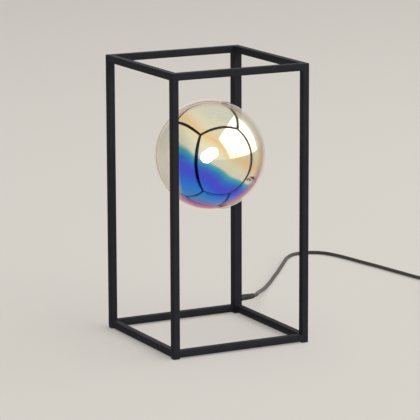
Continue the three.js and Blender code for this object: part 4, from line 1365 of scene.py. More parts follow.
@dataclass
class Cage:
    """Square tube, welded into one frame and coated as one."""

    width: float = 200.0
    height: float = 375.0
    tube: float = 9.5
    wireway: float = 12.0
    wall: float = 1.2
    foot: float = 1.8
    edge: float = 1.0
    core_hole: float = 4.0
    bush_hole: float = 4.2
    exit_height: float = 20.0

    @property
    def half(self) -> float:
        """Half the cage's width."""
        return self.width / 2

    @property
    def wireway_centre(self) -> float:
        """Distance of the thick upright's middle from the origin along X and along Y."""
        return self.half - self.wireway / 2

    def tubes(self) -> tuple[list, list]:
        """Gives the outer blocks of all twelve tubes and the uprights' bores, as three ranges each."""
        half, foot, top = self.half, self.foot, self.height
        blocks, bores = [], []
        corners = ((-1, -1, self.tube), (1, -1, self.tube), (-1, 1, self.tube), (1, 1, self.wireway))
        for x, y, side in corners:
            spans = [tuple(sorted((s * half, s * (half - side)))) for s in (x, y)]
            blocks.append((*spans, (foot, top)))
            inside = [(low + self.wall, high - self.wall) for low, high in spans]
            bores.append((*inside, (foot, top - self.wall)))
        whole = (-half, half)
        for level in ((foot, foot + self.tube), (top - self.tube, top)):
            for edge in ((-half, -half + self.tube), (half - self.tube, half)):
                blocks.append((whole, edge, level))
                blocks.append((edge, whole, level))
        return blocks, bores

    def frame(self) -> Object:
        """Makes the welded frame on one grid, so that flush tubes run into each other without a seam."""
        blocks, bores = self.tubes()
        cuts = [sorted({v for shape in blocks + bores for v in shape[axis]}) for axis in range(3)]
        counts = [len(c) - 1 for c in cuts]

        def inside(spot: Vector, shapes: list) -> bool:
            """Tells whether a point is in one of the blocks."""
            return any(all(low < spot[a] < high for a, (low, high) in enumerate(shape)) for shape in shapes)

        def filled(cell: tuple[int, int, int]) -> bool:
            """Tells whether a cell of the grid is metal."""
            if any(not 0 <= cell[a] < counts[a] for a in range(3)):
                return False
            middle = Vector([(cuts[a][cell[a]] + cuts[a][cell[a] + 1]) / 2 for a in range(3)])
            return inside(middle, blocks) and not inside(middle, bores)

        form = Form()
        for cell in product(*(range(count) for count in counts)):
            if not filled(cell):
                continue
            for axis, step in product(range(3), (0, 1)):
                beyond = list(cell)
                beyond[axis] += 2 * step - 1
                if not filled(tuple(beyond)):
                    self.add_side(form, cuts, cell, axis, step)
        made = piece("welded_cage", form, POWDER)
        self.round_edges(made)
        return made

    def add_side(self, form: Form, cuts: list, cell: tuple[int, int, int], axis: int, step: int) -> None:
        """Adds one side of a cell to the form, pointing outwards."""
        first, second = (axis + 1) % 3, (axis + 2) % 3
        corners = [(0, 0), (1, 0), (1, 1), (0, 1)]
        if step == 0:
            corners.reverse()
        start = len(form.points)
        for a, b in corners:
            spot = [0.0, 0.0, 0.0]
            spot[axis] = cuts[axis][cell[axis] + step]
            spot[first] = cuts[first][cell[first] + a]
            spot[second] = cuts[second][cell[second] + b]
            form.points.append(Vector(spot))
        form.faces.append(tuple(range(start, start + 4)))

    def round_edges(self, made: Object) -> None:
        """Rounds the tubes' corners and fills the inner corners with the ground-down weld's small radius."""
        mesh = bmesh.new()
        mesh.from_mesh(made.data)
        weight = mesh.edges.layers.float.new("bevel_weight_edge")
        _, bores = self.tubes()
        for edge in mesh.edges:
            if len(edge.link_faces) != 2 or edge.calc_face_angle(0) < math.radians(30):
                continue
            middle = (edge.verts[0].co + edge.verts[1].co) / 2 / MM
            on_bore = any(
                all(low - 0.01 <= middle[a] <= high + 0.01 for a, (low, high) in enumerate(bore))
                for bore in bores
            )
            edge[weight] = 0.0 if on_bore else 1.0
        mesh.to_mesh(made.data)
        mesh.free()
        bevel = made.modifiers.new("corner_radius", "BEVEL")
        bevel.width = self.edge * MM
        bevel.segments = 4
        bevel.limit_method = "WEIGHT"
        bevel.harden_normals = True
        finished(made)

    def build(self, head: "Head") -> None:
        """Makes the cage with its two holes and settles it."""
        made = self.frame()
        core_hole = rod(self.core_hole, head.reach - self.wireway, head.reach).moved(head.place)
        bush_hole = along_x(rod(self.bush_hole, 0, self.wireway))
        bush_hole = at(bush_hole, self.wireway_centre, self.wireway_centre, self.exit_height)
        carved(made, [core_hole, bush_hole], Matrix())
        uprights = [f"{name}_upright" for name in ("front_left", "front_right", "rear_left", "rear_right")]
        sides = ("front", "rear", "left", "right")
        rails = [f"{level}_{side}_rail" for level in ("bottom", "top") for side in sides]
        settle(made, Body.LAMP, *uprights, *rails)


# Head: globe, cup, arm and holder, made about Y from the globe's middle towards the thick upright


@dataclass
class Head:
    """Where the head's pieces are: their origin, their axis and its length to the upright."""

    centre: Place = (0.0, -9.0, 247.5)
    upright: Place = (94.0, 94.0, 247.5)

    @property
    def reach(self) -> float:
        """Distance from the globe's middle to the upright's axis."""
        return (Vector(self.upright) - Vector(self.centre)).length

    @property
    def place(self) -> Matrix:
        """The head's place, its Y axis towards the upright."""
        out = Vector(self.upright) - Vector(self.centre)
        turn = Matrix.Rotation(-math.atan2(out.x, out.y), 4, "Z")
        return Matrix.Translation(self.centre) @ turn


@dataclass
class Globe:
    """The blown globe with its moulded screw neck: clear glass, mirror-coated on the inside."""

    radius: float = 74.0
    wall: float = 2.4
    neck: float = 18.0
    bore: float = 15.5
    neck_end: float = 84.0
    fillet: float = 3.0
    thread: Thread = Thread(start=75.7, height=1.2, root=2.4, crest=1.2)
    sides: int = 144
    fine: float = 0.3
    lip_outside: float = 0.8
    lip_inside: float = 0.6

    def build(self, head: Head) -> None:
        """Makes the globe, its thread raised out of the neck's fine grid."""
        inner = self.radius - self.wall
        fillet_r = self.neck + self.fillet
        fillet_y = math.sqrt((self.radius + self.fillet) ** 2 - fillet_r**2)
        meets = math.degrees(math.atan2(fillet_y, fillet_r))
        outside = arc((0, 0), self.radius, -90, meets, 72)
        outside[0] = (0.0, -self.radius)
        neck_start = fillet_y + 0.01
        fillet = arc((fillet_r, fillet_y), self.fillet, 180 + meets, 180, 6)[1:]
        rows = int((self.neck_end - self.lip_outside - neck_start) / self.fine)
        neck = [(self.neck, neck_start + self.fine * (i + 1)) for i in range(rows)]
        first, second = self.lip_outside, self.lip_inside
        lip = arc((self.neck - first, self.neck_end - first), first, 0, 90, 4)
        lip += arc((self.bore + second, self.neck_end - second), second, 90, 180, 4)
        inner_end = math.degrees(math.acos(self.bore / inner))
        inside = arc((0, 0), inner, inner_end, -90, 64)
        inside[-1] = (0.0, -inner)
        profile = outside + fillet + neck + lip + inside
        coated = len(outside) + len(fillet) + len(neck) + len(lip)
        spots = [1 if i >= coated else 0 for i in range(len(profile))]
        form = turned(profile, self.sides, spots)
        self.thread.raise_on(form, self.neck)
        settle(piece("globe", form.moved(head.place), [GLASS, COAT], 50), Body.GLOBE, "glass_globe")


@dataclass
class Bulb:
    """Pin-base capsule bulb: frosted envelope over a lit column, ceramic base and two flat pins."""

    tip: float = -24.0
    radius: float = 8.0
    glass: float = 0.9
    open_end: float = 16.0
    base_end: float = 26.0
    column: float = 4.4
    gap: float = 0.3
    blade: Point = (0.8, 2.4)
    pin_spread: float = 4.5
    pin_end: float = 42.0

    def build(self, head: Head) -> None:
        """Makes the bulb's five pieces."""
        inner = self.radius - self.glass
        centre = self.tip + self.radius
        outside = arc((0, centre), self.radius, -90, 0, 12)
        inside = arc((0, centre), inner, 0, -90, 12)
        outside[0], inside[-1] = (0.0, self.tip), (0.0, self.tip + self.glass)
        lip = arc(((self.radius + inner) / 2, self.open_end - self.glass / 2), self.glass / 2, 0, 180, 6)
        envelope = turned(outside + lip + inside, 48)
        settle(piece("envelope", envelope.moved(head.place), ENVELOPE), Body.BULB, "bulb_envelope")
        plug = inner - self.gap
        seat = self.open_end + self.gap
        base = [(0, seat - 4), (plug, seat - 4), (plug, seat), (self.radius, seat)]
        base += [(self.radius, self.base_end - 1.5), (self.radius - 1.5, self.base_end), (0, self.base_end)]
        base = turned(softened(base, 0.5), 48)
        settle(piece("ceramic_base", base.moved(head.place), STEATITE), Body.BULB, "bulb_base")
        column = rod(self.column, self.tip + 9, self.open_end - 4, 6)
        settle(piece("led_column", column.moved(head.place), BOARD, 20), Body.BULB, "bulb_led_column")
        for name, side in (("left", -1), ("right", 1)):
            length = self.pin_end - self.base_end - self.gap
            blade = laid(prism(rounded_rectangle(*self.blade, 0.35, 3), 0, length, 0.2))
            blade = at(blade, side * self.pin_spread, self.base_end + self.gap, 0).moved(head.place)
            settle(piece(f"{name}_pin_of_bulb", blade, ZINC), Body.BULB, f"{name}_bulb_pin")


@dataclass
class Seat:
    """What holds the globe: gasket, threaded collar, cup, nuts, nipple and the arm welded to the upright."""

    # Radii of the bore and the outside, then start and end
    gasket: tuple[Point, Point] = ((15.4, 17.9), (84.3, 86.3))
    rim: float = 73.6
    back: float = 90.6
    radius: float = 24.0
    sheet: float = 1.2
    bend: float = 3.0
    collar_bore: float = 19.9
    collar_wall: float = 2.6
    collar_floor: float = 2.5
    # At the mouth, at the front and at the rear
    collar_bevels: Place = (0.6, 0.4, 2.4)
    collar_rows: int = 40
    thread: Thread = Thread(start=77.95, height=-1.2, root=2.0, crest=1.0)
    nipple: float = 5.0
    nipple_bore: float = 3.6
    nipple_start: float = 55.4
    nipple_end: float = 110.9
    nipple_pitch: float = 1.0
    nipple_depth: float = 0.32
    # Radius and thickness
    washer: Point = (9.0, 1.0)
    nut: float = 3.0
    lock_nut_start: float = 57.5
    arm: float = 7.0
    gap: float = 0.3
    weld_step: float = 0.95
    weld_size: Place = (1.15, 1.15, 0.75)

    def build(self, head: Head, cage: Cage) -> None:
        """Makes the pieces from the gasket to the arm."""
        (bore, outer), (start, end) = self.gasket
        gasket = softened([(bore, start), (outer, start), (outer, end), (bore, end)], 0.5)
        gasket = piece("gasket_ring", turned(gasket, 96).moved(head.place), SILICONE)
        settle(gasket, Body.GASKET, "neck_gasket")
        settle(self.collar(head), Body.LAMP, "thread_collar")
        settle(self.cup(head), Body.LAMP, "globe_cup")
        hole = self.nipple + self.gap
        floor = self.back - self.sheet - self.gap - self.collar_floor - self.gap
        outer, sheet = self.washer
        start = floor - sheet
        washer = softened([(hole, start), (outer, start), (outer, floor), (hole, floor)], 0.2)
        settle(piece("flat_washer", turned(washer, 64).moved(head.place), ZINC), Body.LAMP, "cup_washer")
        nuts = (("nut_in_the_cup", start - self.gap - self.nut, "cup_nut"),
                ("nut_behind_the_holder", self.lock_nut_start, "holder_lock_nut"))
        for name, start, node in nuts:
            settle(piece(name, hex_nut(start, self.nut).moved(head.place), ZINC), Body.LAMP, node)
        settle(self.threaded_tube(head), Body.LAMP, "threaded_nipple")
        settle(self.welded_arm(head, cage), Body.LAMP, "globe_arm")

    def collar(self, head: Head) -> Object:
        """Makes the moulded collar, its thread raised out of a fine grid on its bore."""
        start, end = self.rim + self.sheet, self.back - self.sheet - self.gap
        outer = self.collar_bore + self.collar_wall
        floor = end - self.collar_floor
        hole = self.nipple + self.gap
        mouth, front, rear = self.collar_bevels
        step = (floor - start - mouth) / self.collar_rows
        bore = [(self.collar_bore, floor - step * i) for i in range(self.collar_rows + 1)]
        profile = [(self.collar_bore + mouth, start), (outer - front, start), (outer, start + front)]
        profile += [(outer, end - rear), (outer - rear, end), (hole, end), (hole, floor)] + bore
        form = turned(profile, 120)
        self.thread.raise_on(form, self.collar_bore)
        return piece("threaded_collar_ring", form.moved(head.place), PLASTIC)

    def cup(self, head: Head) -> Object:
        """Makes the spun cup with its rolled rim."""
        inside = self.radius - self.sheet
        middle = self.radius - self.bend
        hole = self.nipple + self.gap
        rim = arc((inside + self.sheet / 2, self.rim + self.sheet / 2), self.sheet / 2, 180, 360, 8)
        outside = arc((middle, self.back - self.bend), self.bend, 0, 90, 10)
        within = arc((middle, self.back - self.bend), self.bend - self.sheet, 90, 0, 8)
        profile = rim + outside + [(hole, self.back), (hole, self.back - self.sheet)] + within
        return piece("spun_cup", turned(profile, 120).moved(head.place), POWDER)

    def threaded_tube(self, head: Head) -> Object:
        """Makes the hollow nipple with its fine running thread."""
        pitch, depth, rows, sides = self.nipple_pitch, self.nipple_depth, 6, 40
        count = round((self.nipple_end - self.nipple_start) * rows / pitch)
        outside = [(self.nipple, self.nipple_start + pitch * i / rows) for i in range(count + 1)]
        inside = [(self.nipple_bore, self.nipple_end), (self.nipple_bore, self.nipple_start)]
        form = turned(outside + inside, sides)
        for point in form.points:
            radius = math.hypot(point.x, point.z)
            if radius > self.nipple - 0.01:
                phase = (point.y / pitch - math.atan2(point.x, point.z) / (2 * math.pi)) % 1
                scale = 1 - depth * abs(2 * phase - 1) / radius
                point.x *= scale
                point.z *= scale
        return piece("nipple_tube", form.moved(head.place), ZINC, 60)

    def welded_arm(self, head: Head, cage: Cage) -> Object:
        """Makes the arm, coped to the upright, with the weld's ripples round the joint."""
        start = self.back + self.gap
        bore = self.nipple + self.gap
        core = self.nipple_bore + 0.4
        step = self.nipple_end + 1
        end = head.reach - 1.4
        profile = [(bore, start), (self.arm - 0.4, start), (self.arm, start + 0.4), (self.arm, end)]
        profile += [(core, end), (core, step), (bore, step)]
        made = piece("welded_arm", turned(profile, 72).moved(head.place), POWDER)
        upright = prism(rounded_rectangle(cage.wireway + 0.1, cage.wireway + 0.1, cage.edge), -30, 30)
        carved(made, [upright], Matrix.Translation(head.upright))
        path = [self.joint_point(head, cage, angle) for angle in round_angles(72)]
        merged(made, Beads(POWDER).along("weld_ripples", path, self.weld_step, self.weld_size, closed=True))
        return made

    def joint_point(self, head: Head, cage: Cage, angle: float) -> Vector:
        """Gives the place at which a line along the arm's skin meets the upright."""
        half = cage.wireway / 2
        low, high = head.reach - 14, head.reach
        for _ in range(24):
            along = (low + high) / 2
            spot = head.place @ Vector((self.arm * math.sin(angle), along, self.arm * math.cos(angle)))
            inside = max(abs(spot.x - head.upright[0]), abs(spot.y - head.upright[1])) < half
            low, high = (low, along) if inside else (along, high)
        return spot


@dataclass
class Lampholder:
    """Pin-base lampholder: steatite body, brass clips, steel bracket and two screws, with the two cores."""

    front: float = 27.0
    back: float = 49.0
    width: float = 22.0
    depth: float = 14.0
    corner: float = 3.5
    pin_spread: float = 4.5
    sheet: float = 1.2
    bracket_front: float = 36.0
    bracket_back: float = 57.2
    bracket_bend: float = 1.9
    bracket_hole: float = 5.3
    pocket: Point = (4.4, 5.0)
    floor: float = 3.5
    core_hole: float = 1.5
    clip_sheet: float = 0.4
    clip_end: float = 44.6
    screw_at: float = 41.0
    screw: float = 1.5
    gap: float = 0.3
    core: float = 1.0
    core_spread: float = 1.4
    # Radii of the bore and the outside
    sleeve: Point = (2.9, 3.5)
    sleeve_start: float = 30.0
    sleeve_length: float = 206.0

    def build(self, head: Head, cage: Cage, cord_start: float) -> None:
        """Makes the holder's pieces and the cores behind it."""
        settle(self.body(head), Body.LAMP, "lampholder_body")
        settle(self.bracket(head), Body.LAMP, "lampholder_bracket")
        for name, side in (("left", -1), ("right", 1)):
            settle(self.clip(head, name, side), Body.LAMP, f"{name}_contact_clip")
            settle(self.side_screw(head, name, side), Body.LAMP, f"{name}_holder_screw")
        for name, side, finish in (("live", -1, BROWN), ("neutral", 1, BLUE)):
            path = self.core_path(head, cage, cord_start, side)
            wire = piece(f"{name}_wire", swept(path, lambda _: self.core, 12), finish, 60)
            settle(wire, Body.LAMP, f"{name}_core")
        (bore, outer), length = self.sleeve, self.sleeve_length
        sleeve = softened([(bore, 0), (outer, 0), (outer, length), (bore, length)], 0.15)
        sleeve = at(upright(turned(sleeve, 32)), cage.wireway_centre, cage.wireway_centre, self.sleeve_start)
        settle(piece("silicone_tube", sleeve, SILICONE), Body.LAMP, "insulating_sleeve")

    def screw_hole(self, side: int) -> Form:
        """Makes the drill for a side screw."""
        return at(along_x(rod(self.screw, 7.5, self.width), side), 0, self.screw_at, 0)

    def body(self, head: Head) -> Object:
        """Makes the pressed steatite block with its pin pockets, core holes and screw holes."""
        outline = rounded_rectangle(self.width, self.depth, self.corner)
        block_form = at(laid(prism(outline, 0, self.back - self.front, 0.7)), 0, self.front, 0)
        made = piece("steatite_block", block_form.moved(head.place), STEATITE)
        tools = []
        for side in (-1, 1):
            x = side * self.pin_spread
            depth = self.back - self.floor - self.front
            pocket = laid(prism(rounded_rectangle(*self.pocket, 0.6, 3), -1, depth))
            tools.append(at(pocket, x, self.front, 0))
            tools.append(at(rod(self.core_hole, self.back - 4, self.back + 1, 24), x, 0, 0))
            tools.append(self.screw_hole(side))
        carved(made, tools, head.place)
        return made

    def bracket(self, head: Head) -> Object:
        """Makes the bent strap round the block, with its holes."""
        x = self.width / 2 + self.gap + self.sheet / 2
        y = self.bracket_back - self.sheet / 2
        corners = [Vector(p) for p in ((x, self.bracket_front), (x, y), (-x, y), (-x, self.bracket_front))]
        outline = strip(bent(corners, self.bracket_bend), self.sheet)
        half = self.depth / 2
        made = piece("bent_strap", prism(outline, -half, half, 0.2, 2).moved(head.place), ZINC)
        tools = [rod(self.bracket_hole, y - 3, y + 3), self.screw_hole(-1), self.screw_hole(1)]
        carved(made, tools, head.place)
        return made

    def clip(self, head: Head, name: str, side: int) -> Object:
        """Makes the folded spring strip that grips a pin, its mouth pinched and flared."""
        half = [(1.7, 28.4), (1.05, 30.2), (0.95, 31), (1.1, 32.2), (1.6, 35), (1.6, self.clip_end)]
        corners = [Vector(p) for p in half] + [Vector((-x, y)) for x, y in reversed(half)]
        form = prism(strip(bent(corners, 0.7, 5), self.clip_sheet), -2, 2, 0.08, 2)
        return piece(f"{name}_spring_clip", at(form, side * self.pin_spread, 0, 0).moved(head.place), BRASS)

    def side_screw(self, head: Head, name: str, side: int) -> Object:
        """Makes a slotted screw that holds the strap to the block."""
        seat = self.width / 2 + self.sheet + 2 * self.gap
        shank, flange, top = 1.2, 2.4, seat + 1.5
        profile = [(0, 7.9), (shank, 7.9), (shank, seat), (flange, seat), (flange, seat + 0.9), (1.8, top)]
        form = along_x(turned(softened(profile + [(0, top)], 0.25), 40), side)
        form = at(form, 0, self.screw_at, 0).moved(head.place)
        made = piece(f"{name}_slotted_screw", form, ZINC)
        slot = block((-0.3, 0.3), (seat + 0.8, seat + 3), (-4, 4))
        carved(made, [at(along_x(slot, side), 0, self.screw_at, 0)], head.place)
        return made

    def core_path(self, head: Head, cage: Cage, cord_start: float, side: int) -> list[Vector]:
        """Gives a core's path: from the cord up the upright, through arm and nipple and into its clip."""
        x = side * self.core_spread
        top = head.place @ Vector((x, head.reach, 0))
        level = cage.exit_height
        corners = [Vector((cord_start - self.gap, cage.wireway_centre - side * 1.2, level))]
        corners.append(Vector((top.x, top.y, level)))
        corners.append(top)
        pin = side * self.pin_spread
        for across, along in ((x, 55.9), (pin, self.back + 0.9), (pin, self.back - 3.7)):
            corners.append(head.place @ Vector((across, along, 0)))
        return bent(corners, 2.2)


@dataclass
class Feet:
    """Ribbed plugs in the open lower ends of the uprights."""

    head: float = 1.5
    stub: float = 9.0
    ribs: int = 3
    rib_step: float = 2.4
    gap: float = 0.3
    edge: float = 0.35

    def plug(self, side: float, wall: float) -> Form:
        """Makes one plug for a tube of this side: head, stub and the ribs that grip the tube."""
        core = side - 2 * wall - 2 * self.gap
        levels = [(0.0, side - 2 * self.edge, 0.8), (self.edge * 0.3, side - 0.6 * self.edge, 0.95)]
        levels += [(self.edge, side, 1.0), (self.head - 0.15, side, 1.0), (self.head, side - 0.3, 0.9)]
        levels.append((self.head, core - 1, 0.4))
        for i in range(self.ribs):
            low = self.head + 1.2 + i * self.rib_step
            levels += [(low, core - 1, 0.4), (low + 0.25, core, 0.6)]
            levels += [(low + 0.6, core, 0.6), (low + 1, core - 1, 0.4)]
        levels += [(self.stub - 0.4, core - 1, 0.4), (self.stub, core - 2, 0.3)]
        return stepped(levels)

    def build(self, cage: Cage) -> None:
        """Makes a plug for each upright."""
        corners = (("front_left", -1, -1, cage.tube), ("front_right", 1, -1, cage.tube),
                   ("rear_left", -1, 1, cage.tube), ("rear_right", 1, 1, cage.wireway))
        for name, x, y, side in corners:
            middle = cage.half - side / 2
            form = at(self.plug(side, cage.wall), x * middle, y * middle, 0)
            settle(piece(f"{name}_glide", form, PLASTIC), Body.LAMP, f"{name}_foot_plug")


# Pieces on the cord


@dataclass
class Relief:
    """A soft sleeve that tapers away from its housing, grooved so that it bends, its lip over the cord."""

    length: float
    root: float
    tip: float
    cord: float = 2.7
    first: float = 4.0
    step: float = 5.0
    depth: float = 0.8
    lip: float = 0.9

    def profile(self, start: Profile) -> Profile:
        """Gives the turned profile after a start that ends at the housing, closed inside the lip."""
        made = list(start)
        y = self.first
        while y < self.length - 4:
            radius = self.root + (self.tip + 0.2 - self.root) * y / self.length
            groove = radius - self.depth
            made += [(radius, y - 0.3), (radius - 0.1, y), (groove + 0.1, y + 0.4), (groove, y + 0.7)]
            made += [(groove, y + 1.3), (groove + 0.1, y + 1.6)]
            made += [(radius - 0.3, y + 2), (radius - 0.2, y + 2.3)]
            y += self.step
        made += [(self.tip, self.length - 0.5), (self.tip - 0.15, self.length + self.lip - 0.3)]
        made += [(self.tip - 0.4, self.length + self.lip), (self.cord + 0.05, self.length + self.lip - 0.1)]
        return made + [(self.cord + 0.05, self.length + 0.1), (0, self.length + 0.1)]


@dataclass
class Bush:
    """The bush in the upright's foot: a barb behind the wall, a flange on it and a sleeve round the cord."""

    sleeve_start: float = 2.5
    sleeve_end: float = 24.0
    root: float = 4.7
    tip: float = 3.6
    bore: float = 2.72
    groove_step: float = 3.4
    groove: float = 0.55

    def radius_at(self, share: float) -> float:
        """Gives the sleeve's radius: a taper with rounded grooves, and a rounded end."""
        taper = self.root + (self.tip - self.root) * share
        along = share * (self.sleeve_end - self.sleeve_start)
        phase = (along / self.groove_step) % 1
        cut = self.groove * smoothstep(1 - abs(phase - 0.5) / 0.2) if 5 < along < 19.5 else 0.0
        end = max(0.0, (share - 0.985) / 0.015)
        return taper - cut - 0.6 * end * end

    def build(self, cage: Cage, path: Sequence[Vector]) -> Object:
        """Makes the bush round the cord's first stretch."""
        barb = [(self.bore, 3.4), (3.8, 3.4), (4.6, 4.5), (3.9, 4.5)]
        flange = [(3.9, 6.3), (5.4, 6.3), (5.4, 7.4), (4.6, 8), (self.bore, 8)]
        fitting = along_x(turned(softened(barb + flange, 0.3), 48))
        fitting = at(fitting, cage.wireway_centre, cage.wireway_centre, cage.exit_height)
        along, kept = 0.0, []
        for before, after in zip(path, path[1:]):
            parts = max(1, round((after - before).length / 0.25))
            for k in range(parts):
                reach = along + (after - before).length * k / parts
                if self.sleeve_start <= reach <= self.sleeve_end:
                    kept.append(before.lerp(after, k / parts))
            along += (after - before).length
        sleeve = swept(kept, self.radius_at, 40)
        made = piece("cord_bush_with_sleeve", fitting.plus(sleeve), SOFT_PLASTIC, 50)
        return settle(made, Body.LAMP, "cord_bush")


@dataclass
class InlineSwitch:
    """Rocker switch on the cord: two shells, rocker and pin, screws, terminals and boots, made along X."""

    centre: Point = (430.0, 38.0)
    length: float = 64.0
    width: float = 26.0
    height: float = 18.0
    wall: float = 1.8
    corner: float = 8.0
    edge: float = 1.5
    gap: float = 0.3
    notch: float = 3.4
    boss: float = 3.2
    screws: tuple[Point, Point] = ((-20.0, 6.8), (20.0, -6.8))
    pivot: float = 13.5
    # Radius and half the length
    pivot_pin: Point = (1.0, 7.6)
    pivot_hole: float = 1.3
    # The near and the far side of the walls that carry the pin
    cheeks: Point = (6.1, 7.9)
    pilot_hole: float = 1.5
    screw_hole: float = 1.6
    # Radius and depth of its pocket
    screw_head: Point = (3.0, 2.5)
    rocker_width: float = 10.8
    rocker_bore: float = 1.35
    rocker_tilt: float = 9.0
    mark_at: float = 6.2
    mark_slope: float = 20.0
    opening: Point = (21.6, 11.6)
    boot: float = 22.0

    @property
    def place(self) -> Matrix:
        """The switch's place, its X axis towards the coil."""
        return Matrix.Translation((*self.centre, 0)) @ turning(-90, "Z")

    def build(self) -> list[Object]:
        """Makes the switch's pieces and returns them."""
        made = [settle(self.shell(False), Body.LAMP, "switch_lower_shell")]
        made.append(settle(self.shell(True), Body.LAMP, "switch_upper_shell"))
        made.append(settle(self.rocker(), Body.ROCKER, "switch_rocker"))
        radius, half = self.pivot_pin
        pin = at(rod(radius, -half, half, 24, 0.25), 0, 0, self.pivot)
        made.append(settle(piece("pivot_pin", pin.moved(self.place), ZINC), Body.LAMP, "rocker_pin"))
        for name, side, (x, y) in (("first", -1, self.screws[0]), ("second", 1, self.screws[1])):
            made.append(settle(self.screw(name, x, y), Body.LAMP, f"switch_{name}_screw"))
            made.append(settle(self.terminal(name, side), Body.LAMP, f"switch_{name}_terminal"))
            made.append(settle(self.soft_boot(name, side), Body.LAMP, f"switch_{name}_boot"))
        return made

    def shell(self, upper: bool) -> Object:
        """Makes one shell of the housing, with its half of the screw bosses."""
        middle = self.height / 2
        outline = rounded_rectangle(self.length, self.width, self.corner, 10)
        housing = prism(outline, 0, self.height, self.edge, 5).moved(self.place)
        made = piece("upper_housing_shell" if upper else "lower_housing_shell", housing, PLASTIC, 40)
        inset = 2 * self.wall
        within = rounded_rectangle(self.length - inset, self.width - inset, self.corner - self.wall, 8)
        cavity = prism(within, self.wall, self.height - self.wall)
        notch = at(along_x(rod(self.notch, -self.length, self.length)), 0, 0, middle)
        over = (-1.0, middle + self.gap / 2) if upper else (middle - self.gap / 2, self.height + 1)
        other_half = block((-self.length, self.length), (-self.width, self.width), over)
        carved(made, [cavity, notch, other_half], self.place)
        span = (middle + self.gap / 2, self.height - 1) if upper else (1, middle - self.gap / 2)
        added = [at(upright(rod(self.boss, *span, 32)), x, y, 0) for x, y in self.screws]
        if upper:
            added += [block((-4, 4), sorted(side * y for y in self.cheeks), span) for side in (-1, 1)]
        carved(made, added, self.place, joins=True)
        hole = (middle, self.height - 3) if upper else (0, middle)
        drill = self.pilot_hole if upper else self.screw_hole
        cuts = [at(upright(rod(drill, *hole, 24)), x, y, 0) for x, y in self.screws]
        if upper:
            top = prism(rounded_rectangle(*self.opening, 0.8, 4), self.height - 3, self.height + 1)
            cuts += [top, at(rod(self.pivot_hole, -9, 9, 24), 0, 0, self.pivot)]
        else:
            radius, depth = self.screw_head
            cuts += [at(upright(rod(radius, -1, depth, 32)), x, y, 0) for x, y in self.screws]
        carved(made, cuts, self.place)
        if upper:
            merged(made, *self.grips())
        return made

    def grips(self) -> list[Object]:
        """Makes the rows of grip pips on both ends of the upper shell."""
        rows = []
        for end in (-1, 1):
            for i in range(3):
                x = end * (15.5 + 3.2 * i)
                path = [self.place @ Vector((x, y, self.height)) for y in (-8.4 + 1.4 * i * (end > 0), 8.4)]
                rows.append(Beads(PLASTIC).along(f"grip_{end}_{i}", path, 2.1, (0.55, 0.55, 0.55)))
        return rows

    def rocker(self) -> Object:
        """Makes the rocker with its dished top, pin hole, and the bar and ring that mark on and off."""
        side = [(10.4, -1.0), (10.25, 1.5), (9.9, 3.9), (9.4, 5.0), (8.9, 5.3)]
        side += [(8.2, 5.25), (6.2, 4.45), (4.0, 3.75), (2.0, 3.32), (0.0, 3.2)]
        outline = side + [(-x, z) for x, z in side[-2::-1]] + [(-8, -2), (-3, -4), (3, -4), (8, -2)]
        half = self.rocker_width / 2
        form = upright(prism(outline, -half, half, 0.5, 4))
        local = self.place @ Matrix.Translation((0, 0, self.pivot)) @ turning(-self.rocker_tilt, "Y")
        made = piece("rocker_paddle", form.moved(local), GLOSS, 40)
        bar = prism(rounded_rectangle(3.2, 0.7, 0.3, 4), 4.2, 4.47, 0.08, 2)
        ring = upright(turned(softened([(1.15, 4.2), (1.8, 4.2), (1.8, 4.47), (1.15, 4.47)], 0.1), 40))
        for name, mark, side in (("bar", bar.moved(turning(90, "Z")), -1), ("ring", ring, 1)):
            tilt = Matrix.Translation((side * self.mark_at, 0, 0)) @ turning(-side * self.mark_slope, "Y")
            settle(piece(f"printed_{name}", mark.moved(local @ tilt), INK), Body.ROCKER)
        carved(made, [rod(self.rocker_bore, -9, 9, 32)], local, smooth=40)
        return made

    def screw(self, name: str, x: float, y: float) -> Object:
        """Makes a self-tapping screw with a cross recess, driven from below."""
        profile = softened([(0, 0.5), (2.5, 0.5), (2.5, 1.6), (1.2, 2.2), (1.2, 13), (0, 14)], 0.25)
        made = piece(f"{name}_cross_screw", at(upright(turned(profile, 40)), x, y, 0).moved(self.place), ZINC)
        cross = [block((-1.4, 1.4), (-0.3, 0.3), (-1, 1.2)), block((-0.3, 0.3), (-1.4, 1.4), (-1, 1.2))]
        carved(made, [at(tool, x, y, 0) for tool in cross], self.place)
        return made

    def terminal(self, name: str, side: int) -> Object:
        """Makes a bent brass terminal with its screw clamp hole."""
        low = self.wall + self.gap
        corners = [Vector(p) for p in ((18, low + 0.5), (7.5, low + 0.5), (7.5, 8.0))]
        form = upright(prism(strip(bent(corners, 1.2), 1.0), -3, 3, 0.15, 2))
        if side < 0:
            form = form.moved(turning(180, "Z"))
        made = piece(f"{name}_bent_terminal", form.moved(self.place), BRASS)
        hole = at(upright(rod(1.3, 0, 5, 24)), side * 14, 0, 0)
        carved(made, [hole], self.place)
        return made

    def soft_boot(self, name: str, side: int) -> Object:
        """Makes a boot, its neck held between the shells."""
        start = [(0, -4.4), (4.4, -4.4), (4.6, -4.2), (4.6, -2.4)]
        start += [(3.1, -2.4), (3.1, 0.3), (5.0, 0.3), (5.2, 0.6)]
        profile = Relief(self.boot, 5.2, 3.4).profile(start)
        form = at(along_x(turned(profile, 48), side), side * self.length / 2, 0, self.height / 2)
        return piece(f"{name}_soft_boot", form.moved(self.place), SOFT_PLASTIC, 50)


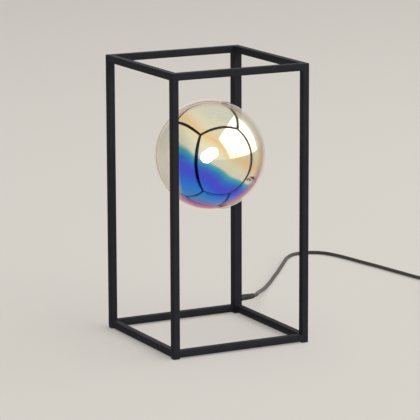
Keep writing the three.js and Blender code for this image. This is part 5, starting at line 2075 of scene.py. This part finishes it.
@dataclass
class MainsPlug:
    """Moulded two-pin plug, made along X with its pins ahead."""

    length: float = 35.0
    half_width: float = 17.6
    thickness: float = 13.7
    edge: float = 2.0
    pin: float = 2.0
    pin_length: float = 19.0
    pin_spread: float = 9.3
    relief: float = 22.0

    def outline(self) -> Profile:
        """Gives the body's outline, counter-clockwise, waisted towards the cord."""
        def bezier(points: Sequence[Point]) -> Profile:
            """Gives a cubic curve's points but its last."""
            a, b, c, d = (Vector(p) for p in points)
            made = []
            for k in range(20):
                t = k / 20
                first, second, third = a.lerp(b, t), b.lerp(c, t), c.lerp(d, t)
                spot = first.lerp(second, t).lerp(second.lerp(third, t), t)
                made.append((spot.x, spot.y))
            return made

        half, end = self.half_width, self.length
        low = [(0, -6)] + bezier([(6, -7), (13, -9), (13, -half), (22, -half)]) + [(22, -half)]
        low += arc((end - 2, 2 - half), 2, -90, 0, 6)
        return low + [(x, -y) for x, y in reversed(low)]

    def build(self, place_of: Matrix) -> list[Object]:
        """Makes the plug's body and pins."""
        middle = self.thickness / 2
        body = prism(self.outline(), 0, self.thickness, self.edge, 6)
        made = piece("moulded_plug", body.moved(place_of), PLASTIC, 40)
        start = [(0, -4), (4.6, -4), (5.2, 0), (5.0, 3), (4.6, 5), (4.6, 5.6), (4.9, 6.6), (4.9, 7.2)]
        start += [(4.3, 10.6), (4.2, 11.4), (4.5, 12.4), (4.5, 13), (4.0, 16.4), (3.85, 17.2)]
        start += [(4.0, 18), (3.9, 18.6)]
        lip = self.relief + 0.9
        start += [(3.4, 21.8), (3.3, lip - 0.2), (3.1, lip), (2.75, lip - 0.1), (2.75, 22.1), (0, 22.1)]
        relief = at(along_x(turned(start, 48), -1), 0, 0, middle)
        carved(made, [relief], place_of, joins=True, smooth=40)
        pips = []
        for i in range(5):
            x, reach = 15.5 + 3 * i, 6.5 + 1.1 * i
            path = [place_of @ Vector((x, y, self.thickness)) for y in (-reach, reach)]
            pips.append(Beads(PLASTIC).along(f"plug_grip_{i}", path, 2.0, (0.6, 0.6, 0.6)))
        merged(made, *pips)
        pieces = [settle(made, Body.LAMP, "plug_body")]
        for name, side in (("left", 1), ("right", -1)):
            tip = arc((0, self.pin_length - self.pin), self.pin, 0, 90, 8)
            tip[-1] = (0.0, self.pin_length)
            pin = along_x(turned([(0, -3.0), (self.pin, -3.0)] + tip, 32))
            pin = at(pin, self.length, side * self.pin_spread, middle).moved(place_of)
            pin = piece(f"{name}_round_pin", pin, NICKEL)
            pieces.append(settle(pin, Body.LAMP, f"{name}_plug_pin"))
        return pieces


@dataclass
class CoilTie:
    """A moulded strap round the coil's turns, with its latch on the outside."""

    sheet: float = 0.6
    width: float = 5.0
    clear: float = 3.1
    over: float = 0.3

    def build(self, cords: Cords) -> Object:
        """Makes the strap and its latch."""
        inner, outer = cords.inner - self.clear, cords.outer + self.clear
        top = cords.low + cords.step_up + cords.diameter / 2 + self.over
        width, height = outer - inner + 2 * self.sheet, top + self.sheet
        outside = rounded_rectangle(width, height, 2.5, 8)
        inside = rounded_rectangle(width - 2 * self.sheet, height - 2 * self.sheet, 1.9, 8)
        form = Form()
        half = self.width / 2
        for outline, z in ((outside, -half), (outside, half), (inside, half), (inside, -half)):
            form.points.extend(Vector((x, y, z)) for x, y in outline)
        form.bridge(4, closed=True)
        centre = cords.centre
        place_of = Matrix.Translation((centre.x - (inner + outer) / 2, centre.y, height / 2))
        strap = upright(form).moved(place_of)
        latch = prism(rounded_rectangle(4.2, 7.0, 0.9, 4), -2.1, 2.1, 0.5, 3)
        latch = at(latch, -width / 2 - 1.2, 0, 0).moved(place_of)
        return settle(piece("strap_tie", strap.plus(latch), PLASTIC), Body.LAMP, "coil_tie")


def main() -> None:
    """Builds the lamp round its frame and reports each piece."""
    logging.basicConfig(level=logging.INFO, format="%(name)s: %(message)s")
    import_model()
    studio = Studio()
    studio.camera()
    cords = Cords()
    first, second, first_path, second_path = cords.build()
    head = Head()
    cage = Cage()
    cage.build(head)
    Feet().build(cage)
    Globe().build(head)
    Bulb().build(head)
    Seat().build(head, cage)
    Lampholder().build(head, cage, cords.route[0][0])
    bush = Bush().build(cage, first_path)
    *switch, second_boot = InlineSwitch().build()
    plug = MainsPlug().build(cords.plug_place())
    tie = CoilTie().build(cords)
    studio.build()


if __name__ == "__main__":
    main()
